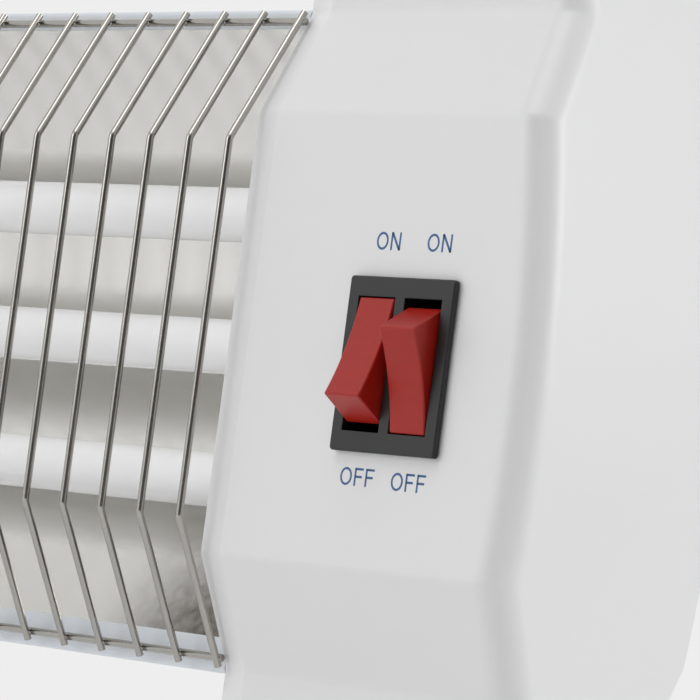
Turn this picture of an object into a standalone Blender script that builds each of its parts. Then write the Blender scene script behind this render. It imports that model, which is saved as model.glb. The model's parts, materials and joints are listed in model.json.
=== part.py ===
"""Free-standing quartz heater with three tubes, built as separate pieces.

Blender 4.5, metres, +Z up. The front faces -Y and the switch is at the +X end.
The world origin is on the floor, under the middle of the heater.
Pieces are drawn from a datum on the front face, at the middle of the reflector:
X runs along the heater, depth runs back from the front face, rise runs up.
Run with: blender --background --python part.py
"""

import math

import bmesh
import bpy

# Clearances
GAP = 0.0003                      # between pieces that touch or fit
OVERCUT = 0.002                   # how far a cutter runs past the face it opens

# Facets of round pieces, and the angle in degrees up to which an edge is shaded smooth
ROUND_SIDES = 16
TUBE_SIDES = 24
PIN_SIDES = 12
SMALL_SIDES = 10
RAIL_SIDES = 8
WIRE_SIDES = 6
ROUND_SMOOTH = 40
FOOT_SMOOTH = 30
HOUSING_SMOOTH = 20

# Turns from local Z to where a turned piece points
ALONG_X = (0, math.radians(90), 0)
BACKWARD = (math.radians(-90), 0, 0)
FORWARD = (math.radians(90), 0, 0)
UPWARD = (0, 0, 0)

# Opening between the two end housings
OPENING_LENGTH = 0.2441

# End housings, heights measured from the middle of the reflector
HOUSING_RISE = 0.095              # up to the top
LEG_DROP = 0.119                  # down to the joint with the foot
HOUSING_WALL = 0.0024
TOP_WALL = 0.0035
TOP_ROUND = 0.005
FACE_HALF = 0.0404                # half height of the upright front face
FACET_HALF = 0.0605               # half height at the far edge of the front slopes
FACET_SETBACK = 0.010
REAR_DEPTH = 0.052
REAR_HALF = 0.050
REAR_FACET_HALF = 0.074
REAR_SETBACK = 0.008
LEDGE_WIDTH = 0.0084              # slope between the front face and the opening
LEDGE_DROP = 0.0030
SIDE_REACH = 0.0787               # from the opening to the widest point of the side
SIDE_RADIUS = 0.300               # the side is an arc, seen from the front
SIDE_MIDDLE = -0.012              # height of its widest point
EDGE_ROUND = 0.006
EDGE_STEPS = 5
SIDE_STEP = 0.020                 # longest run between two outlines of the arc
WINDOW_FRONT = 0.0150             # window in the inner wall, for the tube ends
WINDOW_REAR = 0.0430
WINDOW_HALF = 0.0400

# Rear covers, set into the housings
COVER_THICKNESS = 0.0022
VENT_COUNT = 6
VENT_WIDTH = 0.0026
VENT_HEIGHT = 0.026
VENT_PITCH = 0.0075
VENT_RISE = 0.030

# Feet
FOOT_HEIGHT = 0.0357              # floor to the joint with the leg
FOOT_FRONT = -0.032               # depth of the toe and of the heel
FOOT_REAR = 0.088
FOOT_SPREAD = 0.003               # how far the sole is wider than the leg, each side
SOLE_LIFT = 0.0015                # floor to the sole, under the pads' edges
SOLE_THICKNESS = 0.0065
FOOT_CORNER_TOP = 0.004
FOOT_CORNER_SOLE = 0.012
FOOT_TOP_WALL = 0.0035
FOOT_WALL = 0.0030
FLARE_STEPS = 6
CORNER_STEPS = 4

# Rubber pads under the feet
PAD_LENGTH = 0.030                # along X
PAD_DEPTH = 0.011
PAD_HEIGHT = 0.0030
PAD_CORNER = 0.003
PAD_MARGIN = 0.006                # from the end of the foot

# Steel shell behind the reflector
SHELL_SHEET = 0.0008
SHELL_FRONT = 0.0132
SHELL_HALF = 0.0618
SHELL_REAR = 0.0470
SHELL_REAR_HALF = 0.048
SHELL_TOP_REAR = 0.038
TOP_LIP = 0.0036
BOTTOM_LIP = 0.0065
SLOT_COUNT = 11
SLOT_WIDTH = 0.003
SLOT_HEIGHT = 0.020
SLOT_PITCH = 0.018
SLOT_RISE = 0.026                 # middle of the upper row, the lower row mirrors it

# Reflector
REFLECTOR_SHEET = 0.0006
REFLECTOR_DEPTH = 0.0402          # along its middle
REFLECTOR_POWER = 1.6             # of its curve; below 2 the bend is tighter along its middle
REFLECTOR_STEPS = 16

# End plates and tubes
PLATE_SHEET = 0.0010
TUBE_DEPTH = 0.023
TUBE_MIDDLE = -0.0010             # rise of the middle tube
TUBE_PITCH = 0.0252
TUBE_RADIUS = 0.0052
TUBE_WALL = 0.0011
CAP_FLANGE_RADIUS = 0.0085
CAP_FLANGE = 0.0020
CAP_NECK_RADIUS = 0.0070
CAP_NECK = 0.0115                 # beyond the end plate
CAP_END_WALL = 0.0025
COIL_RADIUS = 0.0032
COIL_MARGIN = 0.012               # plain tail inside each end of the tube
TAIL_RADIUS = 0.0008
TAIL_REACH = 0.006                # beyond the cap

# Front grille
WIRE_COUNT = 24
WIRE_RADIUS = 0.0007
RAIL_RADIUS = 0.00075
GRILLE_OVERLAP = 0.0010           # end wires stand over the ledges
RAIL_FROM_SHELL = 0.0028          # from the shell's top and bottom in to the rails
RAIL_DEPTH = 0.0109
RAIL_INSERT = 0.0072              # how far a rail enters each housing
WIRE_BEND_FROM_RAIL = 0.0243      # from a rail in to the wires' bends
WIRE_FRONT = -0.0042
WIRE_END = 0.0016                 # free end beyond the rail
WELD_SINK = 0.0002                # how far a wire sinks into the rail at its weld
BEND_CUT = 0.0010                 # how far a bend is cut back on each side

# Switch
SWITCH_FROM_OPENING = 0.0471
SWITCH_RISE = -0.0044
BEZEL_WIDTH = 0.0256
BEZEL_HEIGHT = 0.0310
BEZEL_THICKNESS = 0.0016
BEZEL_ROUND = 0.0007
BEZEL_CORNER_STEPS = 3
BEZEL_EDGE = 0.7                  # share of the thickness below its bevel
BEZEL_BEVEL = 0.0003
SWITCH_BODY_WIDTH = 0.0227
SWITCH_BODY_HEIGHT = 0.0278
SWITCH_BODY_DEPTH = 0.0150
SLOT_OPENING_WIDTH = 0.0090
SLOT_OPENING_HEIGHT = 0.0238
SLOT_LIP = 0.0012
SLOT_POCKET_HALF = 0.0132
SLOT_DIVIDER = 0.0024
POCKET_DEPTH = 0.0135
ROCKER_CLEARANCE = 0.00025
PIVOT_BELOW_BEZEL = 0.0056
RIDGE_RADIUS = 0.01297
RIDGE_ANGLE = 43.3                # degrees above the pivot's level, rocker level
SKIRT_RADIUS = 0.01146
SKIRT_ANGLE = 6.1
ROCKER_TILT = 18.2                # degrees to either side of level
ROCKER_DIP = 0.0008
ROCKER_BELLY = 0.0030
ROCKER_BELLY_HALF = 0.0050
ROCKER_CURVE_STEPS = 8
PIN_RADIUS = 0.0014
PIN_REACH = 0.0007
SPADE_WIDTH = 0.0048
SPADE_SHEET = 0.0008
SPADE_LENGTH = 0.0080
SPADE_RISE = 0.0060

# Screws
SCREW_RADIUS = 0.00125
SCREW_HEAD_RADIUS = 0.0030
SCREW_HEAD = 0.0020
SCREW_CROWN = 0.6                 # radius of the head's flat crown, as a share
SCREW_RIM = 0.5                   # height of the head's rim, as a share
SCREW_POINT = 0.3                 # radius of the point, as a share
SCREW_LENGTH = 0.0100
BOSS_RADIUS = 0.0036
BOSS_HOLE_DEPTH = 0.0130
COVER_SCREW_FROM_OPENING = 0.032
COVER_SCREW_RISES = (-0.100, 0.080)
FOOT_SCREW_FROM_OPENING = (0.010, 0.046)
FOOT_BOSS_HEIGHT = 0.010
PLATE_SCREW_FROM_SHELL = 0.0118   # from the shell's top and bottom in to the screws
PLATE_SCREW_DEPTH = 0.034
PLATE_SCREW_LENGTH = 0.0070

# Carry handle on the back of the shell
HANDLE_LENGTH = 0.120
HANDLE_GRIP_LENGTH = 0.092
HANDLE_STANDOFF = 0.028
HANDLE_THICKNESS = 0.008
HANDLE_HEIGHT = 0.024
HANDLE_RISE = 0.024
HANDLE_FOOT = 0.015

# Electrical pieces
BLOCK_SIZE = (0.030, 0.014, 0.016)
BLOCK_POLES = 3
BLOCK_FROM_OPENING = 0.037
BLOCK_RISE = -0.088
BLOCK_HOLE_RADIUS = 0.0016
CUTOUT_RADIUS = 0.0070
CUTOUT_THICKNESS = 0.0080
CUTOUT_STEP_RADIUS = 0.7          # its raised middle, as shares
CUTOUT_STEP_HEIGHT = 0.6
CUTOUT_DEPTH = 0.0345
BUSH_FLANGE_RADIUS = 0.0070
BUSH_NECK_RADIUS = 0.0044
BUSH_BORE_RADIUS = 0.0032
BUSH_FLANGE = 0.0022
BUSH_RISE = -0.084
BUS_BAR_WIDTH = 0.009
BUS_BAR_SHEET = 0.0008
BUS_BAR_END = 0.005               # bar beyond the outer tubes
BUS_BAR_FROM_CAP = 0.0020
TIP_BODY_SIZE = (0.022, 0.012, 0.014)
TIP_FROM_OPENING = 0.028
PLUNGER_RADIUS = 0.0025
PLUNGER_TIP = 0.6                 # radius of its tip, as a share
PLUNGER_TRAVEL = 0.004            # down, when the heater is lifted
PLUNGER_HOLD = 0.006              # still inside the switch when it is down
LEAD_RADIUS = 0.0011
LEAD_STEP = 0.0055
LEAD_RUN = 0.008                  # how far a lead runs on before it bends
LEAD_SPREAD = 0.003               # from the middle of the cut-out to a lead
LEAD_CLIMB_DEPTH = 0.0435         # where the cut-out's lead climbs the leg
LEAD_CLIMB_RISES = (-0.050, -0.010)
LEAD_DIP = 0.1                    # share of its drop that a tube's lead makes first
LEAD_HOLE_RADIUS = 0.0025
LEAD_HOLE_DEPTH = 0.0410
LEAD_HOLE_RISE = -0.0350
FLOOR_HOLE_RADIUS = 0.0030
FLOOR_HOLE_FROM_OPENING = 0.028
FLOOR_HOLE_DEPTH = 0.0165

# Sizes that follow from these
OPENING_HALF = OPENING_LENGTH / 2
MID_HEIGHT = FOOT_HEIGHT + GAP + LEG_DROP
FACE_Y = -(FOOT_FRONT + FOOT_REAR) / 2
LEG_FRONT = FACET_SETBACK
LEG_REAR = REAR_DEPTH - REAR_SETBACK
LEG_MIDDLE_DEPTH = (LEG_FRONT + LEG_REAR) / 2
FRONT_SLOPE = math.atan2(FACET_SETBACK, FACET_HALF - FACE_HALF)
REAR_SLOPE = math.atan2(REAR_SETBACK, REAR_FACET_HALF - REAR_HALF)
SHELL_END = OPENING_HALF - GAP
PLATE_INNER = SHELL_END - PLATE_SHEET
PLATE_SCREW_RISE = SHELL_HALF - PLATE_SCREW_FROM_SHELL
RAIL_HALF = SHELL_HALF - RAIL_FROM_SHELL
WIRE_BEND_HALF = RAIL_HALF - WIRE_BEND_FROM_RAIL
REFLECTOR_END = PLATE_INNER - GAP
SWITCH_X = OPENING_HALF + SWITCH_FROM_OPENING
TUBE_RISES = [TUBE_MIDDLE + TUBE_PITCH * step for step in (1, 0, -1)]
TUBE_NAMES = ("top", "middle", "bottom")
CAP_OUTER = SHELL_END + CAP_NECK
TUBE_END = CAP_OUTER - CAP_END_WALL - GAP
TAIL_END = CAP_OUTER + TAIL_REACH
HOLE_CLEARANCE = SCREW_RADIUS + GAP
SIDES = (("right", 1), ("left", -1))


# Scene and materials

def clear_scene():
    """Start from an empty scene."""
    for thing in list(bpy.data.objects):
        bpy.data.objects.remove(thing, do_unlink=True)


def make_material(name, colour, roughness, metallic=0.0):
    """A plain finish: linear colour, roughness and metallic value."""
    material = bpy.data.materials.new(name)
    material.use_nodes = True
    shader = material.node_tree.nodes["Principled BSDF"]
    shader.inputs["Base Color"].default_value = (*colour, 1.0)
    shader.inputs["Roughness"].default_value = roughness
    shader.inputs["Metallic"].default_value = metallic
    return material


def make_finishes():
    """The finishes of the heater, by name."""
    return {
        "white_plastic": make_material("white_plastic", (0.74, 0.75, 0.76), 0.32),
        "black_nylon": make_material("black_nylon", (0.02, 0.02, 0.022), 0.38),
        "red_plastic": make_material("red_plastic", (0.46, 0.022, 0.02), 0.30),
        "white_paint": make_material("white_paint", (0.72, 0.74, 0.76), 0.40),
        "polished_aluminium": make_material("polished_aluminium", (0.78, 0.77, 0.75), 0.22, 1.0),
        "plated_steel": make_material("plated_steel", (0.55, 0.55, 0.56), 0.28, 1.0),
        "chromed_wire": make_material("chromed_wire", (0.62, 0.62, 0.61), 0.15, 1.0),
        "milky_quartz": make_material("milky_quartz", (0.86, 0.86, 0.85), 0.18),
        "resistance_wire": make_material("resistance_wire", (0.30, 0.28, 0.26), 0.45, 1.0),
        "ceramic": make_material("ceramic", (0.80, 0.78, 0.73), 0.55),
        "brass": make_material("brass", (0.66, 0.50, 0.20), 0.30, 1.0),
        "grey_rubber": make_material("grey_rubber", (0.05, 0.05, 0.052), 0.85),
        "lead_sleeve": make_material("lead_sleeve", (0.70, 0.68, 0.62), 0.60),
    }


# Shapes

def add_object(name, mesh, finish, datum, location=(0, 0, 0), rotation=(0, 0, 0)):
    """Put a mesh in the scene as one named piece, measured from the datum."""
    piece = bpy.data.objects.new(name, mesh)
    bpy.context.scene.collection.objects.link(piece)
    piece.parent = datum
    piece.location = location
    piece.rotation_euler = rotation
    if finish is not None:
        mesh.materials.append(finish)
    return piece


def finish_mesh(name, shape, smooth_angle=None):
    """Turn a bmesh into a mesh whose faces point out."""
    bmesh.ops.recalc_face_normals(shape, faces=shape.faces)
    mesh = bpy.data.meshes.new(name)
    shape.to_mesh(mesh)
    shape.free()
    if smooth_angle is not None:
        mesh.shade_smooth()
        mesh.set_sharp_from_angle(angle=math.radians(smooth_angle))
    return mesh


def skin_rings(shape, rings, closed=False):
    """Skin rings of equally many points, capped at both ends or closed on itself."""
    rows = [[shape.verts.new(point) for point in ring] for ring in rings]
    pairs = list(zip(rows, rows[1:]))
    if closed:
        pairs.append((rows[-1], rows[0]))
    for lower, upper in pairs:
        for index in range(len(lower)):
            after = (index + 1) % len(lower)
            shape.faces.new((lower[index], lower[after], upper[after], upper[index]))
    if not closed:
        shape.faces.new(rows[0][::-1])
        shape.faces.new(rows[-1])


def lofted(name, rings, smooth_angle=None):
    """A mesh through rings, capped at both ends."""
    shape = bmesh.new()
    skin_rings(shape, rings)
    return finish_mesh(name, shape, smooth_angle)


def prism(name, outline, start, end, smooth_angle=None):
    """An outline of depth and rise, drawn along X."""
    rings = [[(x, depth, rise) for depth, rise in outline] for x in (start, end)]
    return lofted(name, rings, smooth_angle)


def box_rings(low, high):
    """The two rings of a box between two corners."""
    square = ((low[0], low[1]), (high[0], low[1]), (high[0], high[1]), (low[0], high[1]))
    return [[(x, y, z) for x, y in square] for z in (low[2], high[2])]


def boxes(name, corners):
    """One mesh of separate boxes, each between two corners."""
    shape = bmesh.new()
    for low, high in corners:
        skin_rings(shape, box_rings(low, high))
    return finish_mesh(name, shape)


def ring_points(radius, along, sides):
    """A level ring of points about the local Z axis."""
    turn = 2 * math.pi / sides
    return [(radius * math.cos(turn * k), radius * math.sin(turn * k), along) for k in range(sides)]


def turned(name, profile, sides=ROUND_SIDES, hollow=False):
    """A piece turned about the local Z axis, from radius and height pairs."""
    shape = bmesh.new()
    skin_rings(shape, [ring_points(radius, along, sides) for radius, along in profile], closed=hollow)
    return finish_mesh(name, shape, ROUND_SMOOTH)


def rods(name, places, radius, start, end, axis, sides=ROUND_SIDES):
    """One mesh of separate round rods along an axis; places are the other two coordinates."""
    shape = bmesh.new()
    for first, second in places:
        rings = []
        for along in (start, end):
            ring = []
            for u, v, _ in ring_points(radius, 0, sides):
                if axis == "X":
                    ring.append((along, first + u, second + v))
                elif axis == "Y":
                    ring.append((first + u, along, second + v))
                else:
                    ring.append((first + u, second + v, along))
            rings.append(ring)
        skin_rings(shape, rings)
    return finish_mesh(name, shape, ROUND_SMOOTH)


def rounded_rectangle(low, high, radius, steps=CORNER_STEPS):
    """Corner points of a rectangle with round corners, as pairs."""
    corners = (
        (high[0] - radius, high[1] - radius, 0),
        (low[0] + radius, high[1] - radius, 90),
        (low[0] + radius, low[1] + radius, 180),
        (high[0] - radius, low[1] + radius, 270),
    )
    points = []
    for centre_x, centre_y, first in corners:
        for step in range(steps + 1):
            angle = math.radians(first + 90 * step / steps)
            points.append((centre_x + radius * math.cos(angle), centre_y + radius * math.sin(angle)))
    return points


def offset_path(points, distance):
    """An open path moved sideways, to the right of its run, with mitred corners."""
    normals = []
    for (x0, y0), (x1, y1) in zip(points, points[1:]):
        length = math.hypot(x1 - x0, y1 - y0)
        normals.append(((y1 - y0) / length, -(x1 - x0) / length))
    moved = []
    for index, (x, y) in enumerate(points):
        before = normals[max(index - 1, 0)]
        after = normals[min(index, len(normals) - 1)]
        sum_x = before[0] + after[0]
        sum_y = before[1] + after[1]
        scale = 2 * distance / (sum_x ** 2 + sum_y ** 2)
        moved.append((x + sum_x * scale, y + sum_y * scale))
    return moved


def sheet_outline(path, thickness):
    """The closed outline of a folded sheet, its thickness to the right of the path."""
    return path + offset_path(path, thickness)[::-1]


def modify(piece, name, tool, operation):
    """Cut or join a piece with a tool object, which is left out of the model."""
    tool.hide_render = True
    tool.display_type = "WIRE"
    modifier = piece.modifiers.new(name, "BOOLEAN")
    modifier.operation = operation
    modifier.solver = "EXACT"
    modifier.object = tool


def cut(piece, label, mesh, datum):
    """Cut a mesh, drawn from the datum, out of a piece."""
    tool = add_object(piece.name + "_" + label, mesh, None, datum)
    modify(piece, label, tool, "DIFFERENCE")


def join(piece, label, mesh, datum):
    """Join a mesh, drawn from the datum, to a piece."""
    tool = add_object(piece.name + "_" + label, mesh, None, datum)
    modify(piece, label, tool, "UNION")


# End housings

def clamp(value):
    """Limit a share to the run from 0 to 1."""
    return min(max(value, 0.0), 1.0)


def front_depth(rise, inset=0.0):
    """Depth of the housing's front at a height, or of a wall inside it."""
    reach = abs(rise) + inset * math.tan(FRONT_SLOPE / 2)
    return inset + FACET_SETBACK * clamp((reach - FACE_HALF) / (FACET_HALF - FACE_HALF))


def rear_depth(rise, inset=0.0):
    """Depth of the housing's back at a height, or of a wall inside it."""
    reach = abs(rise) + inset * math.tan(REAR_SLOPE / 2)
    return REAR_DEPTH - inset - REAR_SETBACK * clamp((reach - REAR_HALF) / (REAR_FACET_HALF - REAR_HALF))


def side_reach(rise, inset=0.0):
    """How far the side stands from the opening at a height."""
    drop = SIDE_RADIUS - math.sqrt(SIDE_RADIUS ** 2 - (rise - SIDE_MIDDLE) ** 2)
    return SIDE_REACH - drop - inset


def housing_levels(bottom, top, inset=0.0):
    """Heights of the outlines: every crease, and steps between for the curved side."""
    front_shift = inset * math.tan(FRONT_SLOPE / 2)
    rear_shift = inset * math.tan(REAR_SLOPE / 2)
    creases = [FACE_HALF - front_shift, FACET_HALF - front_shift]
    creases += [REAR_HALF - rear_shift, REAR_FACET_HALF - rear_shift]
    marks = [bottom, top] + [sign * crease for crease in creases for sign in (-1, 1)]
    marks = sorted(mark for mark in marks if bottom <= mark <= top)
    levels = [marks[0]]
    for lower, upper in zip(marks, marks[1:]):
        count = max(1, math.ceil((upper - lower) / SIDE_STEP))
        levels += [lower + (upper - lower) * step / count for step in range(1, count + 1)]
    return levels


def housing_ring(side, rise, inset=0.0, draw_in=0.0, rear=None):
    """The level outline of an end housing, or of the space inside its walls."""
    inner = OPENING_HALF + inset + draw_in
    front = front_depth(rise, inset) + draw_in
    back = rear_depth(rise) if rear is None else rear
    reach = OPENING_HALF + side_reach(rise, inset) - draw_in
    radius = EDGE_ROUND - inset
    outline = [
        (inner, back),
        (inner, front + LEDGE_DROP),
        (OPENING_HALF + LEDGE_WIDTH + draw_in, front),
    ]
    for step in range(EDGE_STEPS + 1):
        angle = math.radians(90 * step / EDGE_STEPS)
        across = reach - radius + radius * math.sin(angle)
        outline.append((across, front + radius - radius * math.cos(angle)))
    outline.append((reach, back))
    return [(side * x, depth, rise) for x, depth in outline]


def housing_skin(name, side):
    """The outer skin of an end housing, its top edge rounded."""
    rings = [housing_ring(side, rise) for rise in housing_levels(-LEG_DROP, HOUSING_RISE - TOP_ROUND)]
    for step in range(1, EDGE_STEPS + 1):
        angle = math.radians(90 * step / EDGE_STEPS)
        rise = HOUSING_RISE - TOP_ROUND * (1 - math.sin(angle))
        rings.append(housing_ring(side, rise, draw_in=TOP_ROUND * (1 - math.cos(angle))))
    return lofted(name, rings, HOUSING_SMOOTH)


def housing_cavity(name, side):
    """The space inside an end housing, which opens at the back."""
    levels = housing_levels(-LEG_DROP + HOUSING_WALL, HOUSING_RISE - TOP_WALL, HOUSING_WALL)
    rings = [housing_ring(side, rise, HOUSING_WALL, rear=REAR_DEPTH + OVERCUT) for rise in levels]
    return lofted(name, rings)


def cover_screw_places(side):
    """Where the two screws of a rear cover stand, as X and rise."""
    return [(side * (OPENING_HALF + COVER_SCREW_FROM_OPENING), rise) for rise in COVER_SCREW_RISES]


def foot_screw_places(side):
    """Where the two screws of a foot stand, as X and depth."""
    return [(side * (OPENING_HALF + reach), LEG_MIDDLE_DEPTH) for reach in FOOT_SCREW_FROM_OPENING]


def plate_screw_places():
    """Where the two screws of an end plate stand, as depth and rise."""
    return [(PLATE_SCREW_DEPTH, PLATE_SCREW_RISE), (PLATE_SCREW_DEPTH, -PLATE_SCREW_RISE)]


def build_housing(label, side, finish, datum):
    """A moulded end housing, open at the back, with bosses for its screws."""
    name = label + "_end_housing"
    housing = add_object(name, housing_skin(name, side), finish, datum)
    cut(housing, "cavity", housing_cavity(name, side), datum)
    boss_end = rear_depth(COVER_SCREW_RISES[0], COVER_THICKNESS) - GAP
    boss_start = front_depth(COVER_SCREW_RISES[0]) + HOUSING_WALL / 2
    bosses = rods(name, cover_screw_places(side), BOSS_RADIUS, boss_start, boss_end, "Y")
    join(housing, "cover_bosses", bosses, datum)
    posts = rods(
        name, foot_screw_places(side), BOSS_RADIUS,
        -LEG_DROP + HOUSING_WALL / 2, -LEG_DROP + HOUSING_WALL + FOOT_BOSS_HEIGHT, "Z",
    )
    join(housing, "foot_bosses", posts, datum)
    wall_inner = side * (OPENING_HALF - OVERCUT)
    wall_outer = side * (OPENING_HALF + HOUSING_WALL + OVERCUT)
    low = (min(wall_inner, wall_outer), WINDOW_FRONT, -WINDOW_HALF)
    high = (max(wall_inner, wall_outer), WINDOW_REAR, WINDOW_HALF)
    cut(housing, "window", boxes(name, [(low, high)]), datum)
    rail_places = [(RAIL_DEPTH, RAIL_HALF), (RAIL_DEPTH, -RAIL_HALF)]
    rail_end = side * (OPENING_HALF + RAIL_INSERT + GAP)
    rail_holes = rods(name, rail_places, RAIL_RADIUS + GAP, wall_inner, rail_end, "X")
    cut(housing, "rail_holes", rail_holes, datum)
    plate_holes = rods(name, plate_screw_places(), HOLE_CLEARANCE, wall_inner, wall_outer, "X")
    cut(housing, "plate_screw_holes", plate_holes, datum)
    cover_holes = rods(
        name, cover_screw_places(side), HOLE_CLEARANCE, boss_end - BOSS_HOLE_DEPTH, boss_end + OVERCUT, "Y",
    )
    cut(housing, "cover_screw_holes", cover_holes, datum)
    foot_holes = rods(
        name, foot_screw_places(side), HOLE_CLEARANCE,
        -LEG_DROP - OVERCUT, -LEG_DROP + FOOT_BOSS_HEIGHT, "Z",
    )
    cut(housing, "foot_screw_holes", foot_holes, datum)
    if side > 0:
        half_width = SWITCH_BODY_WIDTH / 2 + GAP
        half_height = SWITCH_BODY_HEIGHT / 2 + GAP
        low = (SWITCH_X - half_width, -OVERCUT, SWITCH_RISE - half_height)
        high = (SWITCH_X + half_width, HOUSING_WALL + OVERCUT, SWITCH_RISE + half_height)
        cut(housing, "switch_cutout", boxes(name, [(low, high)]), datum)
        floor_hole = rods(
            name, [(OPENING_HALF + FLOOR_HOLE_FROM_OPENING, FLOOR_HOLE_DEPTH)], FLOOR_HOLE_RADIUS,
            -LEG_DROP - OVERCUT, -LEG_DROP + HOUSING_WALL + OVERCUT, "Z",
        )
        cut(housing, "lead_hole", floor_hole, datum)
    return housing


def build_cover(label, side, finish, datum):
    """A rear cover with a column of vents, set into the back of its housing."""
    name = label + "_rear_cover"
    bottom = -LEG_DROP + HOUSING_WALL + GAP
    top = HOUSING_RISE - TOP_WALL - GAP
    inner = OPENING_HALF + HOUSING_WALL + GAP
    rings = []
    for rise in sorted(set(housing_levels(bottom, top) + housing_levels(bottom, top, COVER_THICKNESS))):
        outer = OPENING_HALF + side_reach(rise, HOUSING_WALL) - GAP
        front = rear_depth(rise, COVER_THICKNESS)
        back = rear_depth(rise)
        outline = ((inner, front), (outer, front), (outer, back), (inner, back))
        rings.append([(side * x, depth, rise) for x, depth in outline])
    cover = add_object(name, lofted(name, rings), finish, datum)
    start = LEG_REAR - COVER_THICKNESS - OVERCUT
    end = REAR_DEPTH + OVERCUT
    holes = rods(name, cover_screw_places(side), HOLE_CLEARANCE, start, end, "Y")
    cut(cover, "screw_holes", holes, datum)
    middle = OPENING_HALF + SIDE_REACH / 2
    vents = []
    for index in range(VENT_COUNT):
        x = side * (middle + (index - (VENT_COUNT - 1) / 2) * VENT_PITCH)
        low = (x - VENT_WIDTH / 2, start, VENT_RISE - VENT_HEIGHT / 2)
        high = (x + VENT_WIDTH / 2, end, VENT_RISE + VENT_HEIGHT / 2)
        vents.append((low, high))
    cut(cover, "vents", boxes(name, vents), datum)
    if side > 0:
        place = [(OPENING_HALF + COVER_SCREW_FROM_OPENING, BUSH_RISE)]
        inlet = rods(name, place, BUSH_NECK_RADIUS + GAP, start, end, "Y")
        cut(cover, "inlet_hole", inlet, datum)
    return cover


# Feet

def leg_span(side):
    """The two X ends of a leg at its joint with the foot, inner first."""
    return OPENING_HALF, OPENING_HALF + side_reach(-LEG_DROP)


def foot_ring(side, rise, share):
    """The outline of a foot; share runs from 0 at the leg to 1 at the sole."""
    inner, outer = leg_span(side)
    front = LEG_FRONT + (FOOT_FRONT - LEG_FRONT) * share
    rear = LEG_REAR + (FOOT_REAR - LEG_REAR) * share
    spread = FOOT_SPREAD * share
    radius = FOOT_CORNER_TOP + (FOOT_CORNER_SOLE - FOOT_CORNER_TOP) * share
    outline = rounded_rectangle((inner - spread, front), (outer + spread, rear), radius)
    return [(side * x, depth, rise) for x, depth in outline]


def pad_places(side):
    """The middle of each pad as a label, X and depth."""
    inner, outer = leg_span(side)
    middle = side * (inner + outer) / 2
    reach = PAD_MARGIN + PAD_DEPTH / 2
    return (("front", middle, FOOT_FRONT + reach), ("rear", middle, FOOT_REAR - reach))


def pad_rings(x, depth, bottom, top, grow):
    """The two rings of a pad, or of its recess when it grows by a gap."""
    low = (x - PAD_LENGTH / 2 - grow, depth - PAD_DEPTH / 2 - grow)
    high = (x + PAD_LENGTH / 2 + grow, depth + PAD_DEPTH / 2 + grow)
    outline = rounded_rectangle(low, high, PAD_CORNER + grow)
    return [[(u, v, rise) for u, v in outline] for rise in (bottom, top)]


def build_foot(label, side, finish, datum):
    """A moulded foot that flares from the leg to the sole, open underneath."""
    name = label + "_foot"
    top = -LEG_DROP - GAP
    sole = -MID_HEIGHT + SOLE_LIFT
    shoulder = sole + SOLE_THICKNESS
    rings = [foot_ring(side, sole, 1.0)]
    for step in range(FLARE_STEPS + 1):
        angle = math.radians(90 * step / FLARE_STEPS)
        rise = shoulder + (top - shoulder) * (1 - math.cos(angle))
        rings.append(foot_ring(side, rise, 1 - math.sin(angle)))
    foot = add_object(name, lofted(name, rings, FOOT_SMOOTH), finish, datum)
    inner, outer = leg_span(side)
    ends = sorted((side * (inner + FOOT_WALL), side * (outer - FOOT_WALL)))
    low = (ends[0], LEG_FRONT + FOOT_WALL, sole - OVERCUT)
    high = (ends[1], LEG_REAR - FOOT_WALL, top - FOOT_TOP_WALL)
    cut(foot, "cavity", boxes(name, [(low, high)]), datum)
    holes = foot_screw_places(side)
    screw_holes = rods(name, holes, HOLE_CLEARANCE, top - FOOT_TOP_WALL - OVERCUT, top + OVERCUT, "Z")
    cut(foot, "screw_holes", screw_holes, datum)
    recess_top = -MID_HEIGHT + PAD_HEIGHT + GAP
    recesses = bmesh.new()
    for _, x, depth in pad_places(side):
        skin_rings(recesses, pad_rings(x, depth, sole - OVERCUT, recess_top, GAP))
    cut(foot, "pad_recesses", finish_mesh(name, recesses), datum)
    if side > 0:
        lead_place = [(OPENING_HALF + FLOOR_HOLE_FROM_OPENING, FLOOR_HOLE_DEPTH)]
        lead_hole = rods(
            name, lead_place, FLOOR_HOLE_RADIUS, top - FOOT_TOP_WALL - OVERCUT, top + OVERCUT, "Z",
        )
        cut(foot, "lead_hole", lead_hole, datum)
    return foot


def build_pads(label, side, finish, datum):
    """The two rubber pads under a foot."""
    for end, x, depth in pad_places(side):
        name = label + "_" + end + "_pad"
        rings = pad_rings(0, 0, 0, PAD_HEIGHT, 0)
        add_object(name, lofted(name, rings, FOOT_SMOOTH), finish, datum, (x, depth, -MID_HEIGHT))


# Shell, reflector and end plates

def shell_path():
    """The outer path of the steel shell, from its top lip over the back to its bottom lip."""
    return [
        (SHELL_FRONT, SHELL_HALF - TOP_LIP),
        (SHELL_FRONT, SHELL_HALF),
        (SHELL_TOP_REAR, SHELL_HALF),
        (SHELL_REAR, SHELL_REAR_HALF),
        (SHELL_REAR, -SHELL_REAR_HALF),
        (SHELL_TOP_REAR, -SHELL_HALF),
        (SHELL_FRONT, -SHELL_HALF),
        (SHELL_FRONT, -SHELL_HALF + BOTTOM_LIP),
    ]


def handle_screw_places():
    """Where the two screws of the handle stand, as X and rise."""
    reach = HANDLE_LENGTH / 2 - HANDLE_FOOT / 2
    return [(-reach, HANDLE_RISE), (reach, HANDLE_RISE)]


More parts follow.
